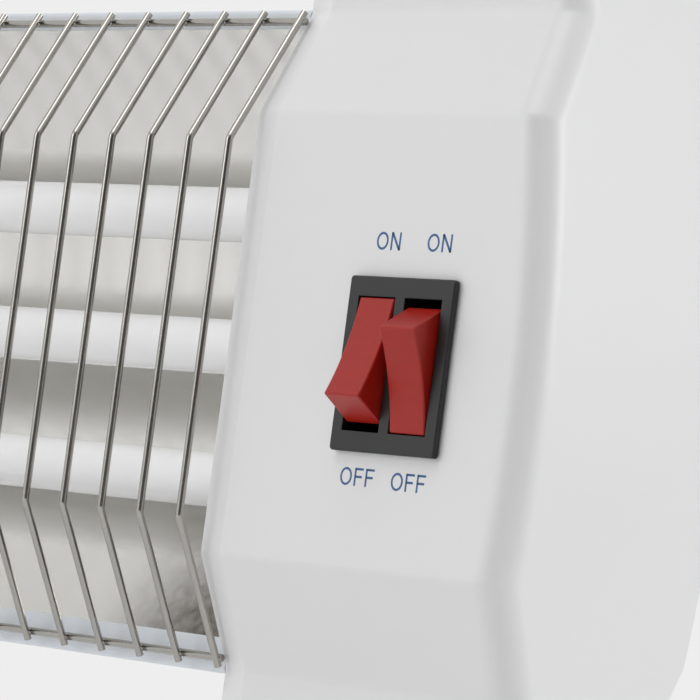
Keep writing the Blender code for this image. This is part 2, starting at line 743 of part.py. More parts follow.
def under_handle_foot(x, rise):
    """Whether a vent at this place would lie under a foot of the handle."""
    foot_middle = (HANDLE_LENGTH - HANDLE_FOOT) / 2
    clear_x = (HANDLE_FOOT + SLOT_WIDTH) / 2 + GAP
    clear_rise = (HANDLE_HEIGHT + SLOT_HEIGHT) / 2 + GAP
    return abs(abs(x) - foot_middle) < clear_x and abs(rise - HANDLE_RISE) < clear_rise


def build_shell(finish, datum):
    """The painted steel shell, a folded sheet with two rows of vents."""
    name = "back_shell"
    folded = prism(name, sheet_outline(shell_path(), SHELL_SHEET), -SHELL_END, SHELL_END)
    shell = add_object(name, folded, finish, datum)
    start = SHELL_REAR - SHELL_SHEET - OVERCUT
    end = SHELL_REAR + OVERCUT
    slots = []
    for rise in (SLOT_RISE, -SLOT_RISE):
        for index in range(SLOT_COUNT):
            x = (index - (SLOT_COUNT - 1) / 2) * SLOT_PITCH
            if under_handle_foot(x, rise):
                continue
            low = (x - SLOT_WIDTH / 2, start, rise - SLOT_HEIGHT / 2)
            slots.append((low, (x + SLOT_WIDTH / 2, end, rise + SLOT_HEIGHT / 2)))
    cut(shell, "vents", boxes(name, slots), datum)
    holes = rods(name, handle_screw_places(), HOLE_CLEARANCE, start, end, "Y")
    cut(shell, "screw_holes", holes, datum)
    return shell


def build_reflector(finish, datum):
    """The polished reflector, a sheet bent to a trough behind the tubes."""
    edge_depth = SHELL_FRONT + SHELL_SHEET + GAP + REFLECTOR_SHEET
    edge_rise = SHELL_HALF - SHELL_SHEET - GAP - REFLECTOR_SHEET
    path = []
    for step in range(REFLECTOR_STEPS + 1):
        share = 1 - 2 * step / REFLECTOR_STEPS
        drop = (REFLECTOR_DEPTH - edge_depth) * abs(share) ** REFLECTOR_POWER
        path.append((REFLECTOR_DEPTH - drop, edge_rise * share))
    name = "reflector"
    outline = sheet_outline(path, -REFLECTOR_SHEET)
    return add_object(name, prism(name, outline, -REFLECTOR_END, REFLECTOR_END), finish, datum)


def build_end_plate(label, side, finish, datum):
    """The plate that closes an end of the shell and carries the tube ends."""
    name = label + "_end_plate"
    inside = offset_path(shell_path(), SHELL_SHEET + GAP)
    front = SHELL_FRONT + SHELL_SHEET + GAP
    outline = [(front, inside[1][1])] + inside[2:6] + [(front, inside[6][1])]
    ends = sorted((side * PLATE_INNER, side * SHELL_END))
    plate = add_object(name, prism(name, outline, *ends), finish, datum)
    start = ends[0] - OVERCUT
    end = ends[1] + OVERCUT
    tube_places = [(TUBE_DEPTH, rise) for rise in TUBE_RISES]
    cut(plate, "tube_holes", rods(name, tube_places, CAP_NECK_RADIUS + GAP, start, end, "X"), datum)
    small = rods(name, plate_screw_places(), HOLE_CLEARANCE, start, end, "X")
    cut(plate, "screw_holes", small, datum)
    lead = rods(name, [(LEAD_HOLE_DEPTH, LEAD_HOLE_RISE)], LEAD_HOLE_RADIUS, start, end, "X")
    cut(plate, "lead_hole", lead, datum)
    return plate


# Tubes

def build_tube(label, rise, finishes, datum):
    """A quartz tube, its heating coil and the ceramic cap at each end."""
    bore = TUBE_RADIUS - TUBE_WALL
    tube_profile = [(TUBE_RADIUS, -TUBE_END), (TUBE_RADIUS, TUBE_END), (bore, TUBE_END), (bore, -TUBE_END)]
    tube_name = "quartz_tube_" + label
    tube = turned(tube_name, tube_profile, TUBE_SIDES, hollow=True)
    place = (0, TUBE_DEPTH, rise)
    add_object(tube_name, tube, finishes["milky_quartz"], datum, place, ALONG_X)
    coil_end = TUBE_END - COIL_MARGIN
    coil_profile = [
        (TAIL_RADIUS, -TAIL_END),
        (TAIL_RADIUS, -coil_end),
        (COIL_RADIUS, -coil_end),
        (COIL_RADIUS, coil_end),
        (TAIL_RADIUS, coil_end),
        (TAIL_RADIUS, TAIL_END),
    ]
    coil_name = "heating_coil_" + label
    coil = turned(coil_name, coil_profile, SMALL_SIDES)
    add_object(coil_name, coil, finishes["resistance_wire"], datum, place, ALONG_X)
    socket = TUBE_RADIUS + GAP
    outlet = TAIL_RADIUS + GAP
    flange = PLATE_INNER - GAP
    cap_profile = [
        (CAP_FLANGE_RADIUS, flange - CAP_FLANGE),
        (CAP_FLANGE_RADIUS, flange),
        (CAP_NECK_RADIUS, flange),
        (CAP_NECK_RADIUS, CAP_OUTER),
        (outlet, CAP_OUTER),
        (outlet, CAP_OUTER - CAP_END_WALL),
        (socket, CAP_OUTER - CAP_END_WALL),
        (socket, flange - CAP_FLANGE),
    ]
    for end, side in SIDES:
        cap_name = end + "_cap_" + label
        profile = [(radius, side * along) for radius, along in cap_profile]
        cap = turned(cap_name, profile, ROUND_SIDES, hollow=True)
        add_object(cap_name, cap, finishes["ceramic"], datum, place, ALONG_X)


# Front grille

def wire_path():
    """A grille wire as depth and rise pairs, from top to bottom, its bends cut once."""
    run = math.atan2(RAIL_DEPTH - WIRE_FRONT, RAIL_HALF - WIRE_BEND_HALF)
    weld = (WIRE_RADIUS + RAIL_RADIUS - WELD_SINK) / math.cos(run)
    slope = (RAIL_DEPTH - weld - WIRE_FRONT) / (RAIL_HALF - WIRE_BEND_HALF)
    end_rise = RAIL_HALF + WIRE_END
    end_depth = WIRE_FRONT + slope * (end_rise - WIRE_BEND_HALF)
    upper = [
        (end_depth, end_rise),
        (WIRE_FRONT + slope * BEND_CUT, WIRE_BEND_HALF + BEND_CUT),
        (WIRE_FRONT, WIRE_BEND_HALF - BEND_CUT),
    ]
    return upper + [(depth, -rise) for depth, rise in reversed(upper)]


def wire_rings(x, path, radius, sides):
    """Rings along a path in one upright plane, mitred at its bends."""
    left = offset_path(path, radius)
    right = offset_path(path, -radius)
    rings = []
    for (depth_a, rise_a), (depth_b, rise_b) in zip(left, right):
        middle = ((depth_a + depth_b) / 2, (rise_a + rise_b) / 2)
        reach = ((depth_a - depth_b) / 2, (rise_a - rise_b) / 2)
        ring = []
        for index in range(sides):
            angle = 2 * math.pi * (index + 0.5) / sides
            across = math.cos(angle)
            ring.append((
                x + radius * math.sin(angle),
                middle[0] + reach[0] * across,
                middle[1] + reach[1] * across,
            ))
        rings.append(ring)
    return rings


def build_grille(finish, datum):
    """The welded wire grille: two rails and the bent wires in front of them, one piece."""
    name = "front_grille"
    rail_end = OPENING_HALF + RAIL_INSERT
    rail_mesh = rods(name, [(RAIL_DEPTH, RAIL_HALF)], RAIL_RADIUS, -rail_end, rail_end, "X", RAIL_SIDES)
    grille = add_object(name, rail_mesh, finish, datum)
    first = OPENING_HALF + GRILLE_OVERLAP
    pitch = 2 * first / (WIRE_COUNT - 1)
    wires = bmesh.new()
    for index in range(WIRE_COUNT):
        skin_rings(wires, wire_rings(-first + index * pitch, wire_path(), WIRE_RADIUS, WIRE_SIDES))
    join(grille, "wires", finish_mesh(name, wires, ROUND_SMOOTH), datum)
    lower_rail = rods(name, [(RAIL_DEPTH, -RAIL_HALF)], RAIL_RADIUS, -rail_end, rail_end, "X", RAIL_SIDES)
    join(grille, "lower_rail", lower_rail, datum)
    return grille


# Switch

def rocker_x(side):
    """Where a rocker stands along X."""
    return SWITCH_X + side * (SLOT_DIVIDER + SLOT_OPENING_WIDTH) / 2


def build_switch_frame(finish, datum):
    """The bezel and body of the twin switch, with a pocket for each rocker."""
    name = "switch_frame"
    half_width = SWITCH_BODY_WIDTH / 2
    half_height = SWITCH_BODY_HEIGHT / 2
    low = (-half_width, -BEZEL_THICKNESS / 2, -half_height)
    high = (half_width, SWITCH_BODY_DEPTH, half_height)
    place = (SWITCH_X, 0, SWITCH_RISE)
    frame = add_object(name, boxes(name, [(low, high)]), finish, datum, place)
    low = (-BEZEL_WIDTH / 2, -BEZEL_HEIGHT / 2)
    high = (BEZEL_WIDTH / 2, BEZEL_HEIGHT / 2)
    rings = []
    for depth, shrink in ((-GAP, 0), (-BEZEL_THICKNESS * BEZEL_EDGE, 0), (-BEZEL_THICKNESS, BEZEL_BEVEL)):
        corners = ((low[0] + shrink, low[1] + shrink), (high[0] - shrink, high[1] - shrink))
        outline = rounded_rectangle(*corners, BEZEL_ROUND, BEZEL_CORNER_STEPS)
        rings.append([(SWITCH_X + x, depth, SWITCH_RISE + z) for x, z in outline])
    join(frame, "bezel", lofted(name, rings), datum)
    lip_depth = -BEZEL_THICKNESS + SLOT_LIP
    slots = []
    pockets = []
    pin_places = []
    for side in (-1, 1):
        x = rocker_x(side)
        half = SLOT_OPENING_WIDTH / 2
        slot_half = SLOT_OPENING_HEIGHT / 2
        slots.append((
            (x - half, -BEZEL_THICKNESS - OVERCUT, SWITCH_RISE - slot_half),
            (x + half, lip_depth + GAP, SWITCH_RISE + slot_half),
        ))
        pockets.append((
            (x - half, lip_depth, SWITCH_RISE - SLOT_POCKET_HALF),
            (x + half, POCKET_DEPTH, SWITCH_RISE + SLOT_POCKET_HALF),
        ))
        pin_places.append(x)
    cut(frame, "slots", boxes(name, slots), datum)
    cut(frame, "pockets", boxes(name, pockets), datum)
    holes = bmesh.new()
    for x in pin_places:
        reach = SLOT_OPENING_WIDTH / 2 + PIN_REACH + GAP - ROCKER_CLEARANCE
        rings = []
        for along in (x - reach, x + reach):
            points = ring_points(PIN_RADIUS + GAP, 0, PIN_SIDES)
            rings.append([(along, pivot_depth() + u, SWITCH_RISE + v) for u, v, _ in points])
        skin_rings(holes, rings)
    cut(frame, "pin_holes", finish_mesh(name, holes), datum)
    return frame


def pivot_depth():
    """Depth of the rockers' pivot behind the front face."""
    return PIVOT_BELOW_BEZEL - BEZEL_THICKNESS


def rocker_outline():
    """The side view of a level rocker about its pivot: depth and rise pairs."""
    ridge = (
        -RIDGE_RADIUS * math.sin(math.radians(RIDGE_ANGLE)),
        RIDGE_RADIUS * math.cos(math.radians(RIDGE_ANGLE)),
    )
    skirt = (
        -SKIRT_RADIUS * math.sin(math.radians(SKIRT_ANGLE)),
        SKIRT_RADIUS * math.cos(math.radians(SKIRT_ANGLE)),
    )
    top = []
    for step in range(ROCKER_CURVE_STEPS + 1):
        share = 2 * step / ROCKER_CURVE_STEPS - 1
        top.append((ridge[0] + ROCKER_DIP * (1 - share ** 2), -share * ridge[1]))
    belly = [(ROCKER_BELLY, -ROCKER_BELLY_HALF), (ROCKER_BELLY, ROCKER_BELLY_HALF)]
    return top + [(skirt[0], -skirt[1])] + belly + [skirt]


def build_rocker(label, side, tilt, finish, datum):
    """A rocker with its two pivot pins; its origin is on the pivot."""
    name = label + "_rocker"
    half = SLOT_OPENING_WIDTH / 2 - ROCKER_CLEARANCE
    mesh = prism(name, rocker_outline(), -half, half)
    place = (rocker_x(side), pivot_depth(), SWITCH_RISE)
    rotation = (math.radians(tilt), 0, 0)
    rocker = add_object(name, mesh, finish, datum, place, rotation)
    pin_mesh = rods(name, [(0, 0)], PIN_RADIUS, -half - PIN_REACH, half + PIN_REACH, "X", PIN_SIDES)
    pin = add_object(name + "_pin", pin_mesh, None, datum, place, rotation)
    modify(rocker, "pin", pin, "UNION")
    return rocker


def build_spades(finish, datum):
    """The four spade terminals at the back of the switch."""
    for label, side in (("left", -1), ("right", 1)):
        for level, sign in (("upper", 1), ("lower", -1)):
            name = label + "_" + level + "_spade"
            low = (-SPADE_WIDTH / 2, 0, -SPADE_SHEET / 2)
            high = (SPADE_WIDTH / 2, SPADE_LENGTH, SPADE_SHEET / 2)
            place = (rocker_x(side), SWITCH_BODY_DEPTH + GAP, SWITCH_RISE + sign * SPADE_RISE)
            add_object(name, boxes(name, [(low, high)]), finish, datum, place)


# Screws

def screw_mesh(name, length):
    """A pan-head screw: the shank runs up local Z from the seat, the head hangs below."""
    profile = [
        (SCREW_HEAD_RADIUS * SCREW_CROWN, -SCREW_HEAD),
        (SCREW_HEAD_RADIUS, -SCREW_HEAD * SCREW_RIM),
        (SCREW_HEAD_RADIUS, 0),
        (SCREW_RADIUS, 0),
        (SCREW_RADIUS, length - SCREW_RADIUS),
        (SCREW_RADIUS * SCREW_POINT, length),
    ]
    return turned(name, profile, SMALL_SIDES)


def build_screws(finish, datum):
    """Every screw, its head clear of its seat by the gap."""
    for label, side in SIDES:
        for level, (x, rise) in zip(("lower", "upper"), cover_screw_places(side)):
            name = label + "_cover_screw_" + level
            place = (x, rear_depth(rise) + GAP, rise)
            add_object(name, screw_mesh(name, SCREW_LENGTH), finish, datum, place, FORWARD)
        for level, (x, depth) in zip(("inner", "outer"), foot_screw_places(side)):
            name = label + "_foot_screw_" + level
            place = (x, depth, -LEG_DROP - GAP - FOOT_TOP_WALL - GAP)
            add_object(name, screw_mesh(name, SCREW_LENGTH), finish, datum, place, UPWARD)
        depth, rise = plate_screw_places()[0]
        name = label + "_plate_screw"
        place = (side * (OPENING_HALF + HOUSING_WALL + GAP), depth, rise)
        rotation = (0, -side * math.radians(90), 0)
        add_object(name, screw_mesh(name, PLATE_SCREW_LENGTH), finish, datum, place, rotation)
    for label, (x, rise) in zip(("left", "right"), handle_screw_places()):
        name = "handle_screw_" + label
        place = (x, SHELL_REAR - SHELL_SHEET - GAP, rise)
        add_object(name, screw_mesh(name, SCREW_LENGTH), finish, datum, place, BACKWARD)


# Carry handle

def build_handle(finish, datum):
    """A moulded strap handle that stands off the back of the shell."""
    name = "carry_handle"
    back = SHELL_REAR + GAP
    half = HANDLE_LENGTH / 2
    grip_half = HANDLE_GRIP_LENGTH / 2
    palm = back + HANDLE_STANDOFF
    outer = [
        (-half, back), (-half, back + HANDLE_THICKNESS), (-grip_half, palm + HANDLE_THICKNESS),
        (grip_half, palm + HANDLE_THICKNESS), (half, back + HANDLE_THICKNESS), (half, back),
    ]
    inner = [
        (half - HANDLE_FOOT, back), (grip_half - HANDLE_THICKNESS, palm),
        (-grip_half + HANDLE_THICKNESS, palm), (-half + HANDLE_FOOT, back),
    ]
    rings = []
    for rise in (HANDLE_RISE - HANDLE_HEIGHT / 2, HANDLE_RISE + HANDLE_HEIGHT / 2):
        rings.append([(x, depth, rise) for x, depth in outer + inner])
    handle = add_object(name, lofted(name, rings), finish, datum)
    bevel = handle.modifiers.new("rounded_edges", "BEVEL")
    bevel.width = HANDLE_THICKNESS / 4
    bevel.segments = 2
    bevel.limit_method = "ANGLE"
    hole_end = back + SCREW_LENGTH + GAP
    holes = rods(name, handle_screw_places(), HOLE_CLEARANCE, back - OVERCUT, hole_end, "Y")
    cut(handle, "screw_holes", holes, datum)
    return handle


# Electrical pieces

def build_terminal_block(finish, datum):
    """The mains terminal block inside the right leg, with three bores for leads."""
    name = "terminal_block"
    x = OPENING_HALF + BLOCK_FROM_OPENING
    front = front_depth(BLOCK_RISE, HOUSING_WALL) + GAP
    low = (-BLOCK_SIZE[0] / 2, 0, -BLOCK_SIZE[2] / 2)
    high = (BLOCK_SIZE[0] / 2, BLOCK_SIZE[1], BLOCK_SIZE[2] / 2)
    block = add_object(name, boxes(name, [(low, high)]), finish, datum, (x, front, BLOCK_RISE))
    pitch = BLOCK_SIZE[0] / BLOCK_POLES
    places = [(x + pitch * step, front + BLOCK_SIZE[1] / 2) for step in (-1, 0, 1)]
    for label, sign in (("upper", 1), ("lower", -1)):
        start = BLOCK_RISE + sign * BLOCK_SIZE[2] / 4
        end = BLOCK_RISE + sign * (BLOCK_SIZE[2] / 2 + OVERCUT)
        bores = rods(name, places, BLOCK_HOLE_RADIUS, start, end, "Z", SMALL_SIDES)
        cut(block, label + "_bores", bores, datum)
    return block


def build_bush(finish, datum):
    """The bush that lines the cord inlet of the right rear cover."""
    profile = [
        (BUSH_FLANGE_RADIUS, GAP),
        (BUSH_FLANGE_RADIUS, BUSH_FLANGE),
        (BUSH_BORE_RADIUS, BUSH_FLANGE),
        (BUSH_BORE_RADIUS, -COVER_THICKNESS - GAP - BUSH_FLANGE),
        (BUSH_FLANGE_RADIUS - 2 * GAP, -COVER_THICKNESS - GAP - BUSH_FLANGE),
        (BUSH_FLANGE_RADIUS - 2 * GAP, -COVER_THICKNESS - GAP),
        (BUSH_NECK_RADIUS, -COVER_THICKNESS - GAP),
        (BUSH_NECK_RADIUS, GAP),
    ]
    mesh = turned("cord_inlet_bush", profile, ROUND_SIDES, hollow=True)
    place = (OPENING_HALF + COVER_SCREW_FROM_OPENING, rear_depth(BUSH_RISE), BUSH_RISE)
    add_object("cord_inlet_bush", mesh, finish, datum, place, BACKWARD)


def cutout_rise():
    """Height of the thermal cut-out, between the top and middle tubes."""
    return (TUBE_RISES[0] + TUBE_RISES[1]) / 2


def build_cutout(finish, datum):
    """The thermal cut-out on the outside of the right end plate."""
    profile = [
        (CUTOUT_RADIUS, 0),
        (CUTOUT_RADIUS, CUTOUT_THICKNESS * CUTOUT_STEP_HEIGHT),
        (CUTOUT_RADIUS * CUTOUT_STEP_RADIUS, CUTOUT_THICKNESS * CUTOUT_STEP_HEIGHT),
        (CUTOUT_RADIUS * CUTOUT_STEP_RADIUS, CUTOUT_THICKNESS),
    ]
    place = (SHELL_END + GAP, CUTOUT_DEPTH, cutout_rise())
    add_object("thermal_cutout", turned("thermal_cutout", profile), finish, datum, place, ALONG_X)


def build_bus_bar(finish, datum):
    """The strip that joins the three tube tails at the left end."""
    name = "bus_bar"
    start = -(CAP_OUTER + BUS_BAR_FROM_CAP + BUS_BAR_SHEET)
    end = start + BUS_BAR_SHEET
    low = (start, TUBE_DEPTH - BUS_BAR_WIDTH / 2, TUBE_RISES[-1] - BUS_BAR_END)
    high = (end, TUBE_DEPTH + BUS_BAR_WIDTH / 2, TUBE_RISES[0] + BUS_BAR_END)
    bar = add_object(name, boxes(name, [(low, high)]), finish, datum)
    places = [(TUBE_DEPTH, rise) for rise in TUBE_RISES]
    holes = rods(name, places, TAIL_RADIUS + GAP, start - OVERCUT, end + OVERCUT, "X", SMALL_SIDES)
    cut(bar, "tail_holes", holes, datum)


def tip_switch_top():
    """Height of the top of the tip-over switch, under the foot's top wall."""
    return -LEG_DROP - GAP - FOOT_TOP_WALL - GAP


def build_tip_switch(finishes, datum):
    """The tip-over switch inside the right foot and the plunger that the floor holds in."""
    x = OPENING_HALF + TIP_FROM_OPENING
    top = tip_switch_top()
    bottom = top - TIP_BODY_SIZE[2]
    low = (-TIP_BODY_SIZE[0] / 2, -TIP_BODY_SIZE[1] / 2, 0)
    high = (TIP_BODY_SIZE[0] / 2, TIP_BODY_SIZE[1] / 2, TIP_BODY_SIZE[2])
    name = "tip_switch_body"
    place = (x, LEG_MIDDLE_DEPTH, bottom)
    body = add_object(name, boxes(name, [(low, high)]), finishes["black_nylon"], datum, place)
    plunger_top = bottom + PLUNGER_HOLD + PLUNGER_TRAVEL
    bore_end = plunger_top + GAP
    bore = rods(name, [(x, LEG_MIDDLE_DEPTH)], PLUNGER_RADIUS + GAP, bottom - OVERCUT, bore_end, "Z")
    cut(body, "plunger_bore", bore, datum)
    profile = [
        (PLUNGER_RADIUS * PLUNGER_TIP, 0),
        (PLUNGER_RADIUS, PLUNGER_RADIUS * (1 - PLUNGER_TIP)),
        (PLUNGER_RADIUS, plunger_top + MID_HEIGHT),
    ]
    name = "tip_switch_plunger"
    place = (x, LEG_MIDDLE_DEPTH, -MID_HEIGHT)
    add_object(name, turned(name, profile), finishes["white_plastic"], datum, place)


# Leads

def smooth_route(points):
    """Points of a smooth curve through a route, about one lead step apart."""
    padded = [points[0]] + points + [points[-1]]
    route = [points[0]]
    for index in range(1, len(padded) - 2):
        before, start, end, after = padded[index - 1:index + 3]
        count = max(2, round(math.dist(start, end) / LEAD_STEP))
        for step in range(1, count + 1):
            share = step / count
            point = []
            for a, b, c, d in zip(before, start, end, after):
                slope = c - a
                bend = 2 * a - 5 * b + 4 * c - d
                twist = 3 * b - a - 3 * c + d
                point.append(b + 0.5 * share * (slope + share * (bend + share * twist)))
            route.append(tuple(point))
    return route


def build_lead(name, points, finish, datum):
    """A sleeved lead along a smooth route."""
    curve = bpy.data.curves.new(name, "CURVE")
    curve.dimensions = "3D"
    curve.bevel_depth = LEAD_RADIUS
    curve.bevel_resolution = 2
    curve.use_fill_caps = True
    route = smooth_route(points)
    spline = curve.splines.new("POLY")
    spline.points.add(len(route) - 1)
    for target, point in zip(spline.points, route):
        target.co = (*point, 1.0)
    lead = bpy.data.objects.new(name, curve)
    bpy.context.scene.collection.objects.link(lead)
    lead.parent = datum
    curve.materials.append(finish)


def spade_end(side, sign):
    """The free end of a spade terminal, where its lead begins."""
    rear = SWITCH_BODY_DEPTH + GAP + SPADE_LENGTH + GAP
    return rocker_x(side), rear, SWITCH_RISE + sign * SPADE_RISE


def build_tube_leads(finish, datum):
    """The leads from the switch to the right-hand tails of the three tubes."""
    ends = ((1, 1), (-1, -1), (1, -1))
    for label, rise, (side, sign) in zip(TUBE_NAMES, TUBE_RISES, ends):
        spade = spade_end(side, sign)
        tail = (TAIL_END + GAP, TUBE_DEPTH, rise)
        points = [
            tail,
            (tail[0] + LEAD_RUN, tail[1] + LEAD_RUN / 4, rise + (spade[2] - rise) * LEAD_DIP),
            ((tail[0] + spade[0]) / 2, spade[1] + LEAD_RUN, (rise + spade[2]) / 2),
            (spade[0], spade[1] + LEAD_RUN, spade[2]),
            (spade[0], spade[1] + LEAD_RUN / 2, spade[2]),
            spade,
        ]
        build_lead("lead_tube_" + label, points, finish, datum)


def build_supply_leads(finish, datum):
    """The leads of the supply side: block, cut-out, switch, tip-over switch and bus bar."""
    block_x = OPENING_HALF + BLOCK_FROM_OPENING
    block_depth = front_depth(BLOCK_RISE, HOUSING_WALL) + GAP + BLOCK_SIZE[1] / 2
    block_top = BLOCK_RISE + BLOCK_SIZE[2] / 2 + GAP
    block_bottom = BLOCK_RISE - BLOCK_SIZE[2] / 2 - GAP
    pitch = BLOCK_SIZE[0] / BLOCK_POLES
    run = LEAD_RUN
    cutout_face = SHELL_END + GAP + CUTOUT_THICKNESS + GAP
    lead_depth = CUTOUT_DEPTH + LEAD_SPREAD
    build_lead("lead_block_to_cutout", [
        (block_x, block_depth, block_top),
        (block_x, block_depth + run / 2, block_top + run),
        (block_x - run / 2, LEAD_CLIMB_DEPTH, LEAD_CLIMB_RISES[0]),
        (block_x - run * 3 / 2, LEAD_CLIMB_DEPTH, LEAD_CLIMB_RISES[1]),
        (cutout_face + run, lead_depth, cutout_rise() - run / 2),
        (cutout_face, lead_depth, cutout_rise()),
    ], finish, datum)
    lead_depth = CUTOUT_DEPTH - LEAD_SPREAD
    spade = spade_end(-1, 1)
    build_lead("lead_cutout_to_switch", [
        (cutout_face, lead_depth, cutout_rise() + LEAD_SPREAD),
        (cutout_face + run, lead_depth, cutout_rise() + LEAD_SPREAD),
        (spade[0] - run, spade[1] + run * 3 / 2, spade[2] + run),
        (spade[0], spade[1] + run, spade[2]),
        spade,
    ], finish, datum)
    bar_x = -(CAP_OUTER + BUS_BAR_FROM_CAP + BUS_BAR_SHEET / 2)
    bar_foot = TUBE_RISES[-1] - BUS_BAR_END - GAP
    build_lead("lead_block_to_bus_bar", [
        (block_x - pitch, block_depth, block_top),
        (block_x - pitch, block_depth + run / 2, block_top + run),
        (OPENING_HALF + run * 2, LEAD_HOLE_DEPTH, LEAD_HOLE_RISE - run * 3 / 2),
        (OPENING_HALF + run / 2, LEAD_HOLE_DEPTH, LEAD_HOLE_RISE),
        (OPENING_HALF - run, LEAD_HOLE_DEPTH, LEAD_HOLE_RISE),
        (0, LEAD_HOLE_DEPTH, LEAD_HOLE_RISE),
        (-OPENING_HALF + run, LEAD_HOLE_DEPTH, LEAD_HOLE_RISE),
        (-OPENING_HALF - run / 2, LEAD_HOLE_DEPTH, LEAD_HOLE_RISE),
        (bar_x, LEAD_HOLE_DEPTH - run, bar_foot - run),
        (bar_x, TUBE_DEPTH, bar_foot - run),
        (bar_x, TUBE_DEPTH, bar_foot),
    ], finish, datum)
    hole_x = OPENING_HALF + FLOOR_HOLE_FROM_OPENING
    switch_front = LEG_MIDDLE_DEPTH - TIP_BODY_SIZE[1] / 2 - GAP
    side_rise = tip_switch_top() - run
    build_lead("lead_block_to_tip_switch", [
        (block_x - pitch, block_depth, block_bottom),
        (block_x - pitch, block_depth, block_bottom - run),
        (hole_x, FLOOR_HOLE_DEPTH, -LEG_DROP + run / 2),
        (hole_x, FLOOR_HOLE_DEPTH, tip_switch_top()),
        (hole_x, FLOOR_HOLE_DEPTH, side_rise + run / 4),
        (hole_x, switch_front - run / 4, side_rise),
        (hole_x, switch_front, side_rise),
    ], finish, datum)


# Assembly

def main():
    clear_scene()
    finishes = make_finishes()
    datum = bpy.data.objects.new("front_face_datum", None)
    bpy.context.scene.collection.objects.link(datum)
    datum.location = (0, FACE_Y, MID_HEIGHT)
    for label, side in SIDES:
        build_housing(label, side, finishes["white_plastic"], datum)
        build_cover(label, side, finishes["white_plastic"], datum)
        build_foot(label, side, finishes["white_plastic"], datum)
        build_pads(label, side, finishes["grey_rubber"], datum)
        build_end_plate(label, side, finishes["plated_steel"], datum)
    build_shell(finishes["white_paint"], datum)
    build_reflector(finishes["polished_aluminium"], datum)
    for label, rise in zip(TUBE_NAMES, TUBE_RISES):
        build_tube(label, rise, finishes, datum)
    build_grille(finishes["chromed_wire"], datum)
    build_switch_frame(finishes["black_nylon"], datum)
    build_rocker("left", -1, -ROCKER_TILT, finishes["red_plastic"], datum)
    build_rocker("right", 1, ROCKER_TILT, finishes["red_plastic"], datum)
    build_spades(finishes["brass"], datum)
    build_screws(finishes["plated_steel"], datum)
    build_handle(finishes["white_plastic"], datum)
    build_terminal_block(finishes["ceramic"], datum)
    build_bush(finishes["grey_rubber"], datum)
    build_cutout(finishes["black_nylon"], datum)
    build_bus_bar(finishes["plated_steel"], datum)
    build_tip_switch(finishes, datum)
    build_tube_leads(finishes["lead_sleeve"], datum)
    build_supply_leads(finishes["lead_sleeve"], datum)


main()
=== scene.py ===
"""Looks of a free-standing quartz heater, laid out as a Blender add-on and run as a script.

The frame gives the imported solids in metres, +Z up, with the front facing -Y.
Points are measured from the heater's own datum: X along the heater, depth
back from the front face, and rise up from the middle of the reflector.
"""

import json
import math

import bmesh
import bpy
from bpy.props import FloatProperty, FloatVectorProperty, IntProperty, PointerProperty
from mathutils import Matrix, Vector


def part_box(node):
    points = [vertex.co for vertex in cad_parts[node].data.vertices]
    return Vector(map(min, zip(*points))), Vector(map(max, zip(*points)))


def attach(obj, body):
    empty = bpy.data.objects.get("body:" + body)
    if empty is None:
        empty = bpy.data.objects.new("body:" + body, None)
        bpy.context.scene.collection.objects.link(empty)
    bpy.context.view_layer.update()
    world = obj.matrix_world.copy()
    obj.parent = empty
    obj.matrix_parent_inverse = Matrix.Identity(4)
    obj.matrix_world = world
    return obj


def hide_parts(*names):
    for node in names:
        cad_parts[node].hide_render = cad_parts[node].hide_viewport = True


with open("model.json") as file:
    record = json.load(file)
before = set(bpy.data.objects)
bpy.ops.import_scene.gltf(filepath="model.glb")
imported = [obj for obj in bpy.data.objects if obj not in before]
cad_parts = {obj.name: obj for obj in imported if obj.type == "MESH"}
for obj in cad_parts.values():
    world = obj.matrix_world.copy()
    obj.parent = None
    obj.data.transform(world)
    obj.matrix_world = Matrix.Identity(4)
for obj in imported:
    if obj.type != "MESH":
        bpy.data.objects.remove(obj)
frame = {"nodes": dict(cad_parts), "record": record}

bl_info = {
    "name": "Quartz heater",
    "version": (1, 0, 0),
    "blender": (4, 5, 0),
    "location": "3D Viewport > Sidebar > Heater",
    "description": "Builds the visible pieces and finishes of a quartz heater",
    "category": "Object",
}

BODY = "heater"
SIDES = (("right", 1), ("left", -1))
TUBES = ("top", "middle", "bottom")
GAP = 0.0003  # between pieces that would touch
OVERCUT = 0.002  # how far a cutting tool stands past a face

# Datum and overall sizes, from the frame
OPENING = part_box("right_end_housing")[0].x
FACE_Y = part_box("right_end_housing")[0].y
MIDDLE_Z = (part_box("reflector")[0].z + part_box("reflector")[1].z) / 2
TOP_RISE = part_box("right_end_housing")[1].z - MIDDLE_Z
LEG_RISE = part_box("right_end_housing")[0].z - MIDDLE_Z

# End housings and rear covers
TOP_ROUND = 0.005
FACE_HALF = 0.0404  # half the upright face, between its creases
FACET_HALF = 0.0605
FACET_SETBACK = 0.010
REAR_DEPTH = 0.052
REAR_HALF = 0.050
REAR_FACET_HALF = 0.074
REAR_SETBACK = 0.008
LEDGE_WIDTH = 0.0084
LEDGE_DROP = 0.0030
SIDE_REACH = 0.0787  # the side is an arc, seen from the front
SIDE_RADIUS = 0.300
SIDE_MIDDLE = -0.012
EDGE_ROUND = 0.006
WALL = 0.0024
TOP_WALL = 0.0035
COVER = 0.0022
SCREW_HOLE = 0.00155
WINDOW_DEPTHS = (0.015, 0.043)  # opening for the tube ends, behind the ledge
WINDOW_HALF = 0.040
PLATE_SCREW_DEPTH, PLATE_SCREW_RISE = 0.034, 0.050
COVER_SCREW_X = 0.032  # from the opening
COVER_SCREW_RISES = (-0.100, 0.080)
INLET_RISE, INLET_HOLE = -0.084, 0.0047
COVER_VENTS, COVER_VENT_PITCH, COVER_VENT_RISE = 6, 0.0075, 0.030
COVER_VENT_HALF, COVER_VENT_ROUND = 0.013, 0.0013  # half height and end radius

